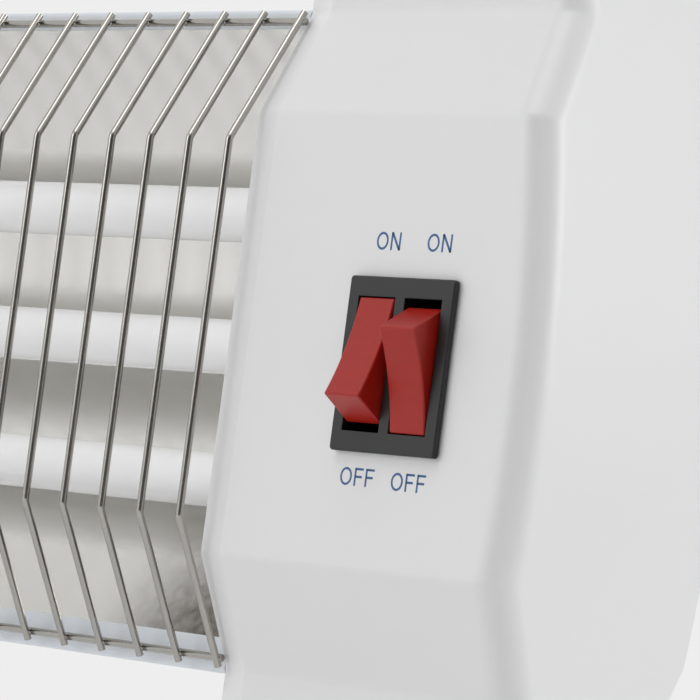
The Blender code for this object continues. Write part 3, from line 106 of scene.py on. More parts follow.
# Feet
FOOT_NARROWING = 0.003  # of the leg against the sole, on each side
FOOT_ROUND, SOLE_ROUND = 0.004, 0.012
SOLE_EDGE = 0.0015
SOLE_HEIGHT = 0.0065
FOOT_WALL, FOOT_TOP_WALL = 0.003, 0.0035
PAD_THICK, PAD_EDGE, PAD_ROUND = 0.003, 0.0004, 0.003

# Shell and reflector
SHELL_PATH = ((0.0132, 0.0582), (0.0132, 0.0618), (0.038, 0.0618), (0.047, 0.048),
              (0.047, -0.048), (0.038, -0.0618), (0.0132, -0.0618), (0.0132, -0.0553))
SHELL_SHEET, SHELL_BEND = 0.0008, 0.0012
SHELL_VENT_RISE, SHELL_VENT_PITCH = 0.026, 0.018
SHELL_VENT_HALF, SHELL_VENT_ROUND = 0.010, 0.0015
HANDLE_FOOT_X, HANDLE_FOOT_CLEAR = 0.0525, 0.0093  # no vent is nearer to a foot of the handle
REFLECTOR_HALF, REFLECTOR_FRONT = 0.0601, 0.0151
REFLECTOR_SHEET, REFLECTOR_POWER = 0.0006, 1.6

# Grille
WIRE, RAIL = 0.0007, 0.00075  # radii
RAIL_DEPTH, RAIL_HALF = 0.0109, 0.0590
GRILLE_PAST = 0.0010  # outermost wires and rail ends, past the opening
BEND_HALF, WIRE_FRONT = 0.0347, -0.0042
WIRE_PAST = 0.0016  # wire ends, past the rails
WELD_HALF, WELD_RADIUS = 0.0008, 0.00075

# Twin switch
SWITCH_HALF, SWITCH_HALF_HEIGHT = 0.01135, 0.0139  # of the body behind the bezel
WELL_HALF = 0.0045  # of the width of each rocker's opening and well
ROCKER_X = 0.0057  # from the switch's middle
ROCKER_HALF, ROCKER_TILT = 0.00425, 18.2
PIVOT_DEPTH = 0.0040
RIDGE = (0.01297, 43.3)  # reach from the pivot and angle of a rocker's ends
SKIRT = (0.01146, 6.1)  # the same for the skirt below them
ROCKER_DIP = 0.0008
ROCKER_BASE = (0.0030, 0.0050)
MARKS = ((-0.00613, 0.02196, "ON"), (0.00637, 0.02198, "ON"),
         (-0.00642, -0.01982, "OFF"), (0.00618, -0.02001, "OFF"))  # from the switch's middle


# Colours and nodes

def linear(code):
    """Linear colour of an sRGB hex code."""
    channels = []
    for start in (0, 2, 4):
        value = int(code[start:start + 2], 16) / 255
        channels.append(value / 12.92 if value <= 0.04045 else ((value + 0.055) / 1.055) ** 2.4)
    return tuple(channels)


def add(tree, kind, settings=None, links=None):
    """Add a shader node, set its options and inputs, and link sockets into it."""
    node = tree.nodes.new("ShaderNode" + kind)
    for key, value in (settings or {}).items():
        if isinstance(key, int) or key in node.inputs:
            node.inputs[key].default_value = value
        else:
            setattr(node, key, value)
    for key, socket in (links or {}).items():
        tree.links.new(socket, node.inputs[key])
    return node


def combine(tree, operation, first, second):
    """A maths node's result for two sockets."""
    return add(tree, "Math", {"operation": operation}, {0: first, 1: second}).outputs[0]


def ramp(tree, value, start, end, low=0.0, high=1.0, kind="LINEAR"):
    """A socket's value mapped from one range to another and held within it."""
    settings = {"interpolation_type": kind, "From Min": start, "From Max": end,
                "To Min": low, "To Max": high}
    return add(tree, "MapRange", settings, {"Value": value}).outputs["Result"]


def noise(tree, place, size_mm, detail):
    """Soft clouds of a size over the places that a socket gives."""
    settings = {"Scale": 1000 / size_mm, "Detail": detail}
    return add(tree, "TexNoise", settings, {"Vector": place}).outputs["Fac"]


def finish(name, colour, roughness, fixed=None, shade=0.04, shade_mm=14.0, spread=0.05,
           grain_mm=0.5, depth_mm=0.004, stretch=(1, 1, 1)):
    """A finish whose colour, roughness and bump vary a little, at sizes in millimetres."""
    material = bpy.data.materials.new(name)
    material.use_nodes = True
    tree = material.node_tree
    shader = tree.nodes["Principled BSDF"]
    for key, value in (fixed or {}).items():
        shader.inputs[key].default_value = value
    place = add(tree, "TexCoord").outputs["Object"]
    run = add(tree, "Mapping", {"Scale": stretch}, {"Vector": place}).outputs["Vector"]
    cloud = noise(tree, run, shade_mm, 3.0)
    dark = tuple(channel * (1 - shade) for channel in colour)
    light = tuple(min(1.0, channel * (1 + shade)) for channel in colour)
    tinted = add(tree, "Mix", {"data_type": "RGBA", 6: (*dark, 1), 7: (*light, 1)}, {0: cloud})
    tree.links.new(tinted.outputs[2], shader.inputs["Base Color"])
    rough = ramp(tree, cloud, 0, 1, roughness - spread, roughness + spread)
    tree.links.new(rough, shader.inputs["Roughness"])
    bump = add(tree, "Bump", {"Strength": 1.0, "Distance": depth_mm / 1000},
               {"Height": noise(tree, run, grain_mm, 2.0)})
    tree.links.new(bump.outputs["Normal"], shader.inputs["Normal"])
    return material


FINISHES = {}


def make_finishes(colours):
    """Every finish of the heater, from the colours in the panel."""
    made = FINISHES
    # Polypropylene, injection moulded in a lightly etched tool: an even white with a soft sheen
    made["white_plastic"] = finish(
        "moulded_polypropylene", colours.housing, 0.36, {"IOR": 1.49},
        shade=0.008, shade_mm=30, spread=0.03, grain_mm=0.7, depth_mm=0.0015)
    # Glass-filled nylon, moulded: nearly black, satin, with a fine stony grain
    made["black_nylon"] = finish(
        "moulded_nylon", colours.switch_body, 0.48, {"IOR": 1.53},
        shade=0.12, shade_mm=5, grain_mm=0.45, depth_mm=0.010)
    # Polycarbonate, moulded and spark eroded: a clear red that glows a little at its edges
    made["red_plastic"] = finish(
        "moulded_polycarbonate", colours.rocker, 0.32,
        {"IOR": 1.58, "Specular IOR Level": 0.3, "Subsurface Weight": 0.2,
         "Subsurface Radius": (0.0012, 0.0002, 0.0002), "Subsurface Scale": 1.0},
        shade=0.06, shade_mm=3, spread=0.06, grain_mm=0.45, depth_mm=0.012)
    # Powder coat on steel: a white with a slight orange peel
    made["white_paint"] = finish(
        "powder_coat", colours.shell, 0.38, {"IOR": 1.52},
        shade=0.012, shade_mm=25, spread=0.03, grain_mm=1.4)
    # Aluminium sheet, rolled and polished: a blurred mirror with faint streaks along the roll
    made["polished_aluminium"] = finish(
        "polished_aluminium", colours.reflector, 0.15, {"Metallic": 1.0}, shade=0.05, shade_mm=22,
        spread=0.04, grain_mm=3.0, depth_mm=0.002, stretch=(0.12, 1, 1))
    # Painted shade and painted dark reflection: a brown darkening near the ends of its lower edge,
    # by the end housings
    paint_end_shade(made["polished_aluminium"], linear("564D45"))
    # Steel, zinc plated: a cool grey with soft crystals
    made["plated_steel"] = finish(
        "zinc_plated_steel", linear("B9BCC0"), 0.34, {"Metallic": 1.0},
        shade=0.07, shade_mm=4, spread=0.08, grain_mm=0.4, depth_mm=0.003)
    # Chromed steel wire, drawn: a warm grey mirror with fine draw lines
    made["chromed_wire"] = finish(
        "chromed_wire", colours.wire, 0.20, {"Metallic": 1.0}, shade=0.06, shade_mm=3,
        grain_mm=0.3, depth_mm=0.002, stretch=(1, 1, 0.2))
    # Quartz glass with fine bubbles drawn into it: milky, with a fire-polished gloss
    made["milky_quartz"] = finish(
        "milky_quartz", colours.quartz, 0.24,
        {"IOR": 1.46, "Subsurface Weight": 0.05, "Subsurface Scale": 1.0,
         "Subsurface Radius": (0.003, 0.003, 0.003)},
        shade=0.015, shade_mm=9, spread=0.03, grain_mm=2.5, depth_mm=0.006,
        stretch=(0.3, 1, 1))
    # Nickel-chrome resistance wire, wound and oxidised: dark and dull
    made["resistance_wire"] = finish(
        "oxidised_nichrome", linear("6E645A"), 0.50, {"Metallic": 1.0}, shade=0.20, shade_mm=1.2,
        spread=0.08, depth_mm=0.10, stretch=(1, 0.05, 0.05))
    # Steatite, pressed and fired without glaze: a chalky cream
    made["ceramic"] = finish(
        "fired_steatite", linear("E6E0D3"), 0.62, {"IOR": 1.55},
        shade_mm=3, spread=0.06, grain_mm=0.18, depth_mm=0.012)
    # Brass, stamped from strip: a yellow metal with a slight haze
    made["brass"] = finish(
        "stamped_brass", linear("C9A45C"), 0.30, {"Metallic": 1.0},
        shade=0.08, shade_mm=2, spread=0.08, grain_mm=0.3, depth_mm=0.003)
    # Nitrile rubber, moulded: dark grey and dull
    made["grey_rubber"] = finish(
        "moulded_rubber", linear("3A3A3C"), 0.78, {"IOR": 1.52},
        shade=0.10, shade_mm=4, spread=0.08, grain_mm=0.3, depth_mm=0.015)
    # Glass-fibre sleeve, braided: an off-white, uneven surface at the weave's 0.5 mm
    made["lead_sleeve"] = finish(
        "braided_glass_fibre", linear("DAD5C8"), 0.70, {"IOR": 1.50},
        shade=0.12, shade_mm=1.0, spread=0.06, depth_mm=0.10)
    # Acetal, moulded: white, slightly waxy
    made["plunger_plastic"] = finish(
        "moulded_acetal", linear("E6E7E6"), 0.40, {"IOR": 1.48},
        shade=0.02, shade_mm=4, spread=0.04, grain_mm=0.4, depth_mm=0.003)
    # Pad printing ink: a thin flat blue
    made["ink"] = finish(
        "pad_printing_ink", colours.lettering, 0.50, {"IOR": 1.48},
        shade=0.10, shade_mm=0.6, grain_mm=0.12)


def paint_end_shade(material, colour):
    """Paint shade into a finish: darker and browner towards the two ends of the reflector's lower
    edge, in soft clouds.
    """
    tree = material.node_tree
    shader = tree.nodes["Principled BSDF"]
    unshaded = shader.inputs["Base Color"].links[0].from_socket
    place = add(tree, "TexCoord").outputs["Object"]
    split = add(tree, "SeparateXYZ", None, {0: place})
    out = add(tree, "Math", {"operation": "ABSOLUTE"}, {0: split.outputs["X"]})
    # From 48 to 12 mm before the end, and from 24 to 55 mm below the middle
    end = ramp(tree, out.outputs[0], OPENING - 0.048, OPENING - 0.012, kind="SMOOTHSTEP")
    low = ramp(tree, split.outputs["Z"], MIDDLE_Z - 0.024, MIDDLE_Z - 0.055, kind="SMOOTHSTEP")
    patchy = ramp(tree, noise(tree, place, 2.5, 4.0), 0.3, 0.7, 0.7, 1.0)
    share = combine(tree, "MULTIPLY", combine(tree, "MULTIPLY", end, low), patchy)
    # Mix the painted shade's brown into the finish's own colour
    end_shaded = add(tree, "Mix", {"data_type": "RGBA", 7: (*colour, 1)}, {0: share, 6: unshaded})
    tree.links.new(end_shaded.outputs[2], shader.inputs["Base Color"])


# Shapes

def at(x, depth, rise):
    """A point of the datum, in the frame."""
    return Vector((x, FACE_Y + depth, MIDDLE_Z + rise))


def box_middle(node):
    """The middle of a solid's box, in the frame."""
    return [(low + high) / 2 for low, high in zip(*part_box(node))]


def skin(shape, rings, loop=False):
    """Skin rings of equally many points, capped at both ends or closed on itself."""
    rows = [[shape.verts.new(point) for point in ring] for ring in rings]
    pairs = list(zip(rows, rows[1:]))
    if loop:
        pairs.append((rows[-1], rows[0]))
    for lower, upper in pairs:
        for index in range(len(lower)):
            after = (index + 1) % len(lower)
            shape.faces.new((lower[index], lower[after], upper[after], upper[index]))
    if not loop:
        shape.faces.new(rows[0][::-1])
        shape.faces.new(rows[-1])


def smoothed(mesh, angle):
    """The mesh, shaded smooth up to an angle in degrees if one is given."""
    if angle is not None:
        mesh.shade_smooth()
        mesh.set_sharp_from_angle(angle=math.radians(angle))
    return mesh


def to_mesh(name, shape, smooth=None):
    """A mesh whose faces point out."""
    bmesh.ops.recalc_face_normals(shape, faces=shape.faces)
    mesh = bpy.data.meshes.new(name)
    shape.to_mesh(mesh)
    shape.free()
    return smoothed(mesh, smooth)


def lofted(name, rings, smooth=None, loop=False):
    """One skin through rings."""
    shape = bmesh.new()
    skin(shape, rings, loop)
    return to_mesh(name, shape, smooth)


def half_angle(before, after):
    """Half the angle between two unit directions."""
    return math.acos(max(-1.0, min(1.0, before.dot(after)))) / 2


def rounded(points, radii, steps):
    """A closed outline of pairs whose corners are arcs, each with its own radius and steps."""
    outline = []
    count = len(points)
    for index, corner in enumerate(points):
        here = Vector(corner)
        before = (Vector(points[index - 1]) - here).normalized()
        after = (Vector(points[(index + 1) % count]) - here).normalized()
        half = half_angle(before, after)
        radius = radii[index]
        bisector = (before + after).normalized()
        centre = here + bisector * (radius / math.sin(half))
        start = here + before * (radius / math.tan(half)) - centre
        turn = math.pi - 2 * half
        if start.x * bisector.y - start.y * bisector.x < 0:
            turn = -turn
        number = steps[index]
        for step in range(number + 1):
            angle = -turn * step / number
            outline.append((
                centre.x + start.x * math.cos(angle) - start.y * math.sin(angle),
                centre.y + start.x * math.sin(angle) + start.y * math.cos(angle),
            ))
    return outline


def extruded(outline, start, end, axis="X"):
    """Two rings of an outline of pairs, at a start and an end along an axis of the datum."""
    index = "XYZ".index(axis)
    return [[at(*pair[:index], along, *pair[index:]) for pair in outline] for along in (start, end)]


def rectangle(low, high, radius, steps):
    """The outline of a rectangle between two corners, its own corners rounded."""
    corners = [low, (high[0], low[1]), high, (low[0], high[1])]
    return rounded(corners, [radius] * 4, [steps] * 4)


def quarter(count, first=0):
    """Sine and cosine at even steps of a quarter turn."""
    angles = [math.radians(90 * step / count) for step in range(first, count + 1)]
    return [(math.sin(angle), math.cos(angle)) for angle in angles]


def circle(radius, sides):
    """Points of a circle, as pairs."""
    turn = 2 * math.pi / sides
    return [(radius * math.cos(turn * k), radius * math.sin(turn * k)) for k in range(sides)]


def turned(name, profile, centre, axis, sides=48, loop=True):
    """A piece turned about an axis through a point, from radius and height pairs."""
    turn = Vector((0, 0, 1)).rotation_difference(Vector(axis)).to_matrix()
    rings = []
    for radius, along in profile:
        points = circle(radius, sides)
        rings.append([Vector(centre) + turn @ Vector((u, v, along)) for u, v in points])
    return lofted(name, rings, 35, loop)


def box(low, high):
    """A box between two corners of the datum."""
    square = ((low[0], low[1]), (high[0], low[1]), (high[0], high[1]), (low[0], high[1]))
    return lofted("box", extruded(square, low[2], high[2], "Z"))


def block(x, half, start, end, rise, half_height):
    """A box between two depths, about an X and a rise."""
    return box((x - half, start, rise - half_height), (x + half, end, rise + half_height))


def rods(places, radius, start, end, axis="Y"):
    """One mesh of round rods along X or Y; places are the other two coordinates."""
    shape = bmesh.new()
    for first, second in places:
        ring = [(first + u, second + v) for u, v in circle(radius, 32)]
        skin(shape, extruded(ring, start, end, axis))
    return to_mesh("rods", shape)


def slots(places, half_height, radius, start, end):
    """One mesh of upright slots with round ends, between two depths; places are X and rise."""
    shape = bmesh.new()
    reach = half_height - radius
    for x, rise in places:
        outline = []
        for middle, first in ((rise + reach, 0), (rise - reach, 180)):
            for step in range(9):
                angle = math.radians(first + 180 * step / 8)
                outline.append((x + radius * math.cos(angle), middle + radius * math.sin(angle)))
        skin(shape, extruded(outline, start, end, "Y"))
    return to_mesh("slots", shape)


def link(name, data):
    """A new object in the scene."""
    thing = bpy.data.objects.new(name, data)
    bpy.context.scene.collection.objects.link(thing)
    return thing


def carve(mesh, tools, smooth=None, operation="DIFFERENCE"):
    """The mesh with each tool mesh cut out of it or joined to it."""
    solid = link(mesh.name, mesh)
    cutters = []
    for tool in tools:
        cutter = link(tool.name, tool)
        modifier = solid.modifiers.new("cut", "BOOLEAN")
        modifier.operation = operation
        modifier.solver = "EXACT"
        modifier.object = cutter
        cutters.append(cutter)
    graph = bpy.context.evaluated_depsgraph_get()
    shaped = bpy.data.meshes.new_from_object(solid.evaluated_get(graph))
    for spare in [solid] + cutters:
        bpy.data.objects.remove(spare, do_unlink=True)
    return smoothed(shaped, smooth)


def piece(name, mesh, slot, node=None, body=BODY, finish_name=None, bevel=0.0, weighted=True):
    """Put a mesh in the scene as a finished piece that rides on a body and replaces a solid."""
    thing = link(name, mesh)
    mesh.materials.clear()
    mesh.materials.append(FINISHES[finish_name or slot])
    if bevel:
        edge = thing.modifiers.new("rounded_edges", "BEVEL")
        edge.width = bevel
        edge.segments = 3
        edge.limit_method = "ANGLE"
        edge.angle_limit = math.radians(30)
    if weighted:
        normals = thing.modifiers.new("flat_faces", "WEIGHTED_NORMAL")
        normals.keep_sharp = True
    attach(thing, body)
    if node:
        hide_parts(node)


# Outlines of the end housings

def eased_ramp(value, start, end, soft):
    """Share of the way from start to end, its two corners rounded over a soft length."""
    def bend(reach):
        if reach <= -soft:
            return 0.0
        if reach >= soft:
            return reach
        return (reach + soft) ** 2 / (4 * soft)
    return (bend(value - start) - bend(value - end)) / (end - start)


def housing_front(rise, soft):
    """Depth of a housing's front at a height."""
    return FACET_SETBACK * eased_ramp(abs(rise), FACE_HALF, FACET_HALF, soft)


def housing_back(rise, soft):
    """Depth of a housing's back at a height."""
    return REAR_DEPTH - REAR_SETBACK * eased_ramp(abs(rise), REAR_HALF, REAR_FACET_HALF, soft)


def side_reach(rise):
    """How far a housing's side stands from the opening at a height."""
    return SIDE_REACH - SIDE_RADIUS + math.sqrt(SIDE_RADIUS ** 2 - (rise - SIDE_MIDDLE) ** 2)


def housing_levels(bottom, top, soft, step=0.004):
    """Heights of a housing's outlines, closer together at its creases."""
    levels = {bottom, top}
    for crease in (FACE_HALF, FACET_HALF, REAR_HALF, REAR_FACET_HALF):
        for sign in (-1, 1):
            for share in (-1.0, -0.5, 0.0, 0.5, 1.0):
                levels.add(sign * crease + share * soft)
    count = math.ceil((top - bottom) / step)
    spaced = [bottom + (top - bottom) * index / count for index in range(count + 1)]
    creases = sorted(levels)
    for level in spaced:
        if all(abs(level - crease) > step / 3 for crease in creases):
            levels.add(level)
    return sorted(level for level in levels if bottom <= level <= top)


def housing_ring(side, rise, soft, inset, back, radii, steps):
    """The level outline of an end housing or of its cavity, its corners rounded."""
    front = housing_front(rise, soft) + inset
    reach = side_reach(rise) - inset
    corners = [(inset, back), (inset, front + LEDGE_DROP), (LEDGE_WIDTH + inset, front),
               (reach, front), (reach, back)]
    outline = rounded(corners, radii, steps)
    return [at(side * (OPENING + x), depth, rise) for x, depth in outline]


# Panel

def length(name, description, default, low, high):
    """A length that a user would change, in metres."""
    return FloatProperty(
        name=name, description=description, default=default, min=low, max=high, unit="LENGTH")


def tint(name, description, code):
    """A colour that a user would change, from an sRGB hex code."""
    return FloatVectorProperty(
        name=name, description=description, subtype="COLOR", default=linear(code), min=0, max=1)


class QuartzHeaterSizes(bpy.types.PropertyGroup):
    """Sizes of the heater that a user would change."""
    crease_round: length(
        "Crease rounding", "Half the height over which a housing's crease bends",
        0.0007, 0.0001, 0.003)
    ledge_round: length(
        "Ledge rounding", "Radius of the two edges of a housing's ledge", 0.0009, 0.0001, 0.002)
    rim_round: length("Rim rounding", "Radius of a housing's rear rim", 0.0005, 0.0001, 0.001)
    bend_radius: length("Wire bend", "Radius of a grille wire's two bends", 0.0022, 0.001, 0.006)
    wire_count: IntProperty(
        name="Wires", description="Number of upright wires in the grille",
        default=24, min=2, max=60)
    letter_height: length("Letter height", "Height of the ON and OFF marks", 0.0032, 0.001, 0.01)
    letter_stroke: length(
        "Letter stroke", "Width of the strokes of the ON and OFF marks", 0.00042, 0.0001, 0.001)
    reflector_depth: length(
        "Reflector depth", "Depth of the reflector along its middle, behind the front face",
        0.0402, 0.032, 0.045)


class QuartzHeaterColours(bpy.types.PropertyGroup):
    """Colours of the heater that a user would change."""
    housing: tint("Housings", "White of the moulded pieces", "E4E4E4")
    shell: tint("Shell", "White of the painted steel shell", "DCE1E6")
    switch_body: tint("Switch body", "Black of the switch's bezel and body", "18191A")
    rocker: tint("Rockers", "Red of the rockers", "A31D12")
    reflector: tint("Reflector", "Tint of the polished reflector", "F0EFEB")
    wire: tint("Grille", "Tint of the chromed wires", "ABA8A3")
    quartz: tint("Tubes", "White of the milky quartz", "FDFDFD")
    lettering: tint("Lettering", "Blue of the ON and OFF marks", "37608F")
    stage: tint("Stage", "Pale grey of the floor and background", "EEEEEE")


# Finishes and end housings

class QUARTZHEATER_OT_finishes(bpy.types.Operator):
    """Make every finish and give the solids that stay in view theirs"""
    bl_idname = "quartz_heater.finishes"
    bl_label = "Finishes"

    def execute(self, context):
        make_finishes(context.scene.quartz_heater_colours)
        slot_of = {entry["node"]: entry["material_slot"] for entry in frame["record"]["subparts"]}
        for name, node in frame["nodes"].items():
            node.data.materials.clear()
            node.data.materials.append(FINISHES[slot_of[name]])
        return {"FINISHED"}


class QUARTZHEATER_OT_end_housings(bpy.types.Operator):
    """Build both moulded end housings, with soft creases and a rounded outer edge"""
    bl_idname = "quartz_heater.end_housings"
    bl_label = "End housings"

    def execute(self, context):
        sizes = context.scene.quartz_heater_sizes
        soft, rim, ledge = sizes.crease_round, sizes.rim_round, sizes.ledge_round
        levels = [(rise, 0.0) for rise in housing_levels(LEG_RISE, TOP_RISE - TOP_ROUND, soft)]
        for sine, cosine in quarter(8, 1):
            levels.append((TOP_RISE - TOP_ROUND * (1 - sine), TOP_ROUND * (1 - cosine)))
        radii = [rim, ledge, ledge, EDGE_ROUND, rim]
        inner_levels = housing_levels(LEG_RISE + WALL, TOP_RISE - TOP_WALL, soft, 0.012)
        inner_radii = [0.0002, 0.0004, 0.0004, EDGE_ROUND - WALL, 0.0002]
        rail_places = [(RAIL_DEPTH, sign * RAIL_HALF) for sign in (1, -1)]
        screw_places = [(PLATE_SCREW_DEPTH, sign * PLATE_SCREW_RISE) for sign in (1, -1)]
        for label, side in SIDES:
            rings = [housing_ring(side, rise, soft, inset, housing_back(rise, soft), radii,
                                  [2, 4, 4, 14, 2]) for rise, inset in levels]
            cavity = [housing_ring(side, rise, soft, WALL, REAR_DEPTH + OVERCUT, inner_radii,
                                   [1, 2, 2, 6, 1]) for rise in inner_levels]
            near = side * (OPENING - OVERCUT)
            far = side * (OPENING + WALL + OVERCUT)
            rail_end = side * (OPENING + GRILLE_PAST + 0.0002)
            tools = [
                lofted("cavity", cavity),
                box((min(near, far), WINDOW_DEPTHS[0], -WINDOW_HALF),
                    (max(near, far), WINDOW_DEPTHS[1], WINDOW_HALF)),
                rods(rail_places, RAIL + GAP, near, rail_end, "X"),
                rods(screw_places, SCREW_HOLE, near, far, "X"),
            ]
            if side > 0:
                x, _, z = box_middle("switch_frame")
                tools.append(block(x, SWITCH_HALF + GAP, -OVERCUT, 0.006, z - MIDDLE_Z,
                                   SWITCH_HALF_HEIGHT + GAP))
            mesh = carve(lofted("housing", rings, 30), tools, 30)
            piece("moulded_housing_" + label, mesh, "white_plastic", label + "_end_housing")
        return {"FINISHED"}


# Covers and feet

class QUARTZHEATER_OT_rear_covers(bpy.types.Operator):
    """Build both rear covers with their vents and screw holes"""
    bl_idname = "quartz_heater.rear_covers"
    bl_label = "Rear covers"

    def execute(self, context):
        soft = context.scene.quartz_heater_sizes.crease_round
        start, end = 0.038, REAR_DEPTH + OVERCUT
        for label, side in SIDES:
            low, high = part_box(label + "_rear_cover")
            inner = WALL + GAP
            rings = []
            for rise in housing_levels(low.z - MIDDLE_Z, high.z - MIDDLE_Z, soft):
                outer = side_reach(rise) - WALL - GAP
                back = housing_back(rise, soft)
                face = back - COVER
                corners = [(inner, face), (outer, face), (outer, back), (inner, back)]
                outline = rounded(corners, [0.0002, 0.0002, 0.0005, 0.0005], [1, 1, 3, 3])
                rings.append([at(side * (OPENING + x), depth, rise) for x, depth in outline])
            middle = OPENING + SIDE_REACH / 2
            places = [(side * (middle + (index - (COVER_VENTS - 1) / 2) * COVER_VENT_PITCH),
                       COVER_VENT_RISE) for index in range(COVER_VENTS)]
            screw_x = side * (OPENING + COVER_SCREW_X)
            screw_places = [(screw_x, rise) for rise in COVER_SCREW_RISES]
            tools = [slots(places, COVER_VENT_HALF, COVER_VENT_ROUND, start, end),
                     rods(screw_places, SCREW_HOLE, start, end)]
            if side > 0:
                tools.append(rods([(screw_x, INLET_RISE)], INLET_HOLE, start, end))
            mesh = carve(lofted("cover", rings, 30), tools, 30)
            piece("vented_cover_" + label, mesh, "white_plastic", label + "_rear_cover")
        return {"FINISHED"}


class QUARTZHEATER_OT_feet(bpy.types.Operator):
    """Build both flared feet and their rubber pads"""
    bl_idname = "quartz_heater.feet"
    bl_label = "Feet"

    def execute(self, context):
        leg_front, leg_back = FACET_SETBACK, REAR_DEPTH - REAR_SETBACK
        for label, side in SIDES:
            low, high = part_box(label + "_foot")
            sole, top = low.z - MIDDLE_Z, high.z - MIDDLE_Z
            front, back = low.y - FACE_Y, high.y - FACE_Y
            near, far = sorted((abs(low.x), abs(high.x)))
            shoulder = sole + SOLE_HEIGHT

            def outline(rise, share, inset):
                """A level outline, its share of the flare from the leg to the sole."""
                radius = FOOT_ROUND + (SOLE_ROUND - FOOT_ROUND) * share - inset / 2
                narrow = FOOT_NARROWING * (1 - share) + inset
                start = (near + narrow, leg_front + (front - leg_front) * share + inset)
                end = (far - narrow, leg_back + (back - leg_back) * share - inset)
                return [at(side * x, depth, rise) for x, depth in rectangle(start, end, radius, 8)]

            rings = [outline(sole + SOLE_EDGE * (1 - cosine), 1.0, SOLE_EDGE * (1 - sine))
                     for sine, cosine in quarter(4)]
            rings += [outline(shoulder + (top - shoulder) * (1 - cosine), 1 - sine, 0.0)
                      for sine, cosine in quarter(32)]
            inset = FOOT_NARROWING + FOOT_WALL
            inner = sorted((side * (near + inset), side * (far - inset)))
            tools = [box((inner[0], leg_front + FOOT_WALL, sole - OVERCUT),
                         (inner[1], leg_back - FOOT_WALL, top - FOOT_TOP_WALL))]
            ends = ("front", "rear")
            for end in ends:
                low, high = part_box("%s_%s_pad" % (label, end))
                tools.append(box((low.x - GAP, low.y - FACE_Y - GAP, sole - OVERCUT),
                                 (high.x + GAP, high.y - FACE_Y + GAP, high.z - MIDDLE_Z + GAP)))
            mesh = carve(lofted("foot", rings, 35), tools, 35)
            piece("flared_foot_" + label, mesh, "white_plastic", label + "_foot")
            for end in ends:
                pad = "%s_%s_pad" % (label, end)
                low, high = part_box(pad)
                rings = []
                for rise, inset in ((0, PAD_EDGE), (PAD_EDGE, 0),
                                    (PAD_THICK - PAD_EDGE, 0), (PAD_THICK, PAD_EDGE)):
                    ring = rectangle((low.x + inset, low.y + inset),
                                     (high.x - inset, high.y - inset), PAD_ROUND, 6)
                    rings.append([Vector((x, y, rise)) for x, y in ring])
                mesh = lofted("pad", rings, 50)
                piece("rubber_pad_%s_%s" % (label, end), mesh, "grey_rubber", pad)
        return {"FINISHED"}


# Shell and reflector

def direction(path, index):
    """The unit direction of a path at one of its points."""
    return (path[min(index + 1, len(path) - 1)] - path[max(index - 1, 0)]).normalized()


def folded(path, radius, steps=5):
    """An open path whose corners are bent to a radius."""
    points = [Vector(path[0])]
    for before, here, after in zip(path, path[1:], path[2:]):
        here = Vector(here)
        back = (Vector(before) - here).normalized()
        ahead = (Vector(after) - here).normalized()
        reach = radius / math.tan(half_angle(back, ahead))
        start = here + back * reach
        end = here + ahead * reach
        for step in range(steps + 1):
            share = step / steps
            rest = 1 - share
            points.append(start * rest ** 2 + here * 2 * share * rest + end * share ** 2)
    points.append(Vector(path[-1]))
    return points


def sheet(path, thickness):
    """The closed outline of a bent sheet, its thickness to the right of the path's run."""
    moved = []
    for index, point in enumerate(path):
        run = direction(path, index)
        moved.append(point + Vector((run.y, -run.x)) * thickness)
    return [tuple(point) for point in path] + [tuple(point) for point in reversed(moved)]


class QUARTZHEATER_OT_shell(bpy.types.Operator):
    """Build the folded steel shell with its vents"""
    bl_idname = "quartz_heater.shell"
    bl_label = "Shell"

    def execute(self, context):
        outline = sheet(folded(SHELL_PATH, SHELL_BEND), SHELL_SHEET)
        rings = extruded(outline, GAP - OPENING, OPENING - GAP)
        places = []
        for rise in (SHELL_VENT_RISE, -SHELL_VENT_RISE):
            for index in range(-5, 6):
                x = index * SHELL_VENT_PITCH
                if rise < 0 or abs(abs(x) - HANDLE_FOOT_X) >= HANDLE_FOOT_CLEAR:
                    places.append((x, rise))
        vents = slots(places, SHELL_VENT_HALF, SHELL_VENT_ROUND, 0.044, 0.049)
        mesh = carve(lofted("shell", rings, 40), [vents], 40)
        piece("folded_shell", mesh, "white_paint", "back_shell")
        return {"FINISHED"}


class QUARTZHEATER_OT_reflector(bpy.types.Operator):
    """Build the polished reflector, bent to a trough"""
    bl_idname = "quartz_heater.reflector"
    bl_label = "Reflector"

    def execute(self, context):
        deepest = context.scene.quartz_heater_sizes.reflector_depth
        low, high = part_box("reflector")
        path = []
        for step in range(65):
            share = 1 - 2 * step / 64
            drop = (deepest - REFLECTOR_FRONT) * abs(share) ** REFLECTOR_POWER
            path.append(Vector((deepest - drop, REFLECTOR_HALF * share)))
        mesh = lofted("reflector", extruded(sheet(path, -REFLECTOR_SHEET), low.x, high.x), 30)
        piece("polished_reflector", mesh, "polished_aluminium", "reflector")
        return {"FINISHED"}


# Tubes

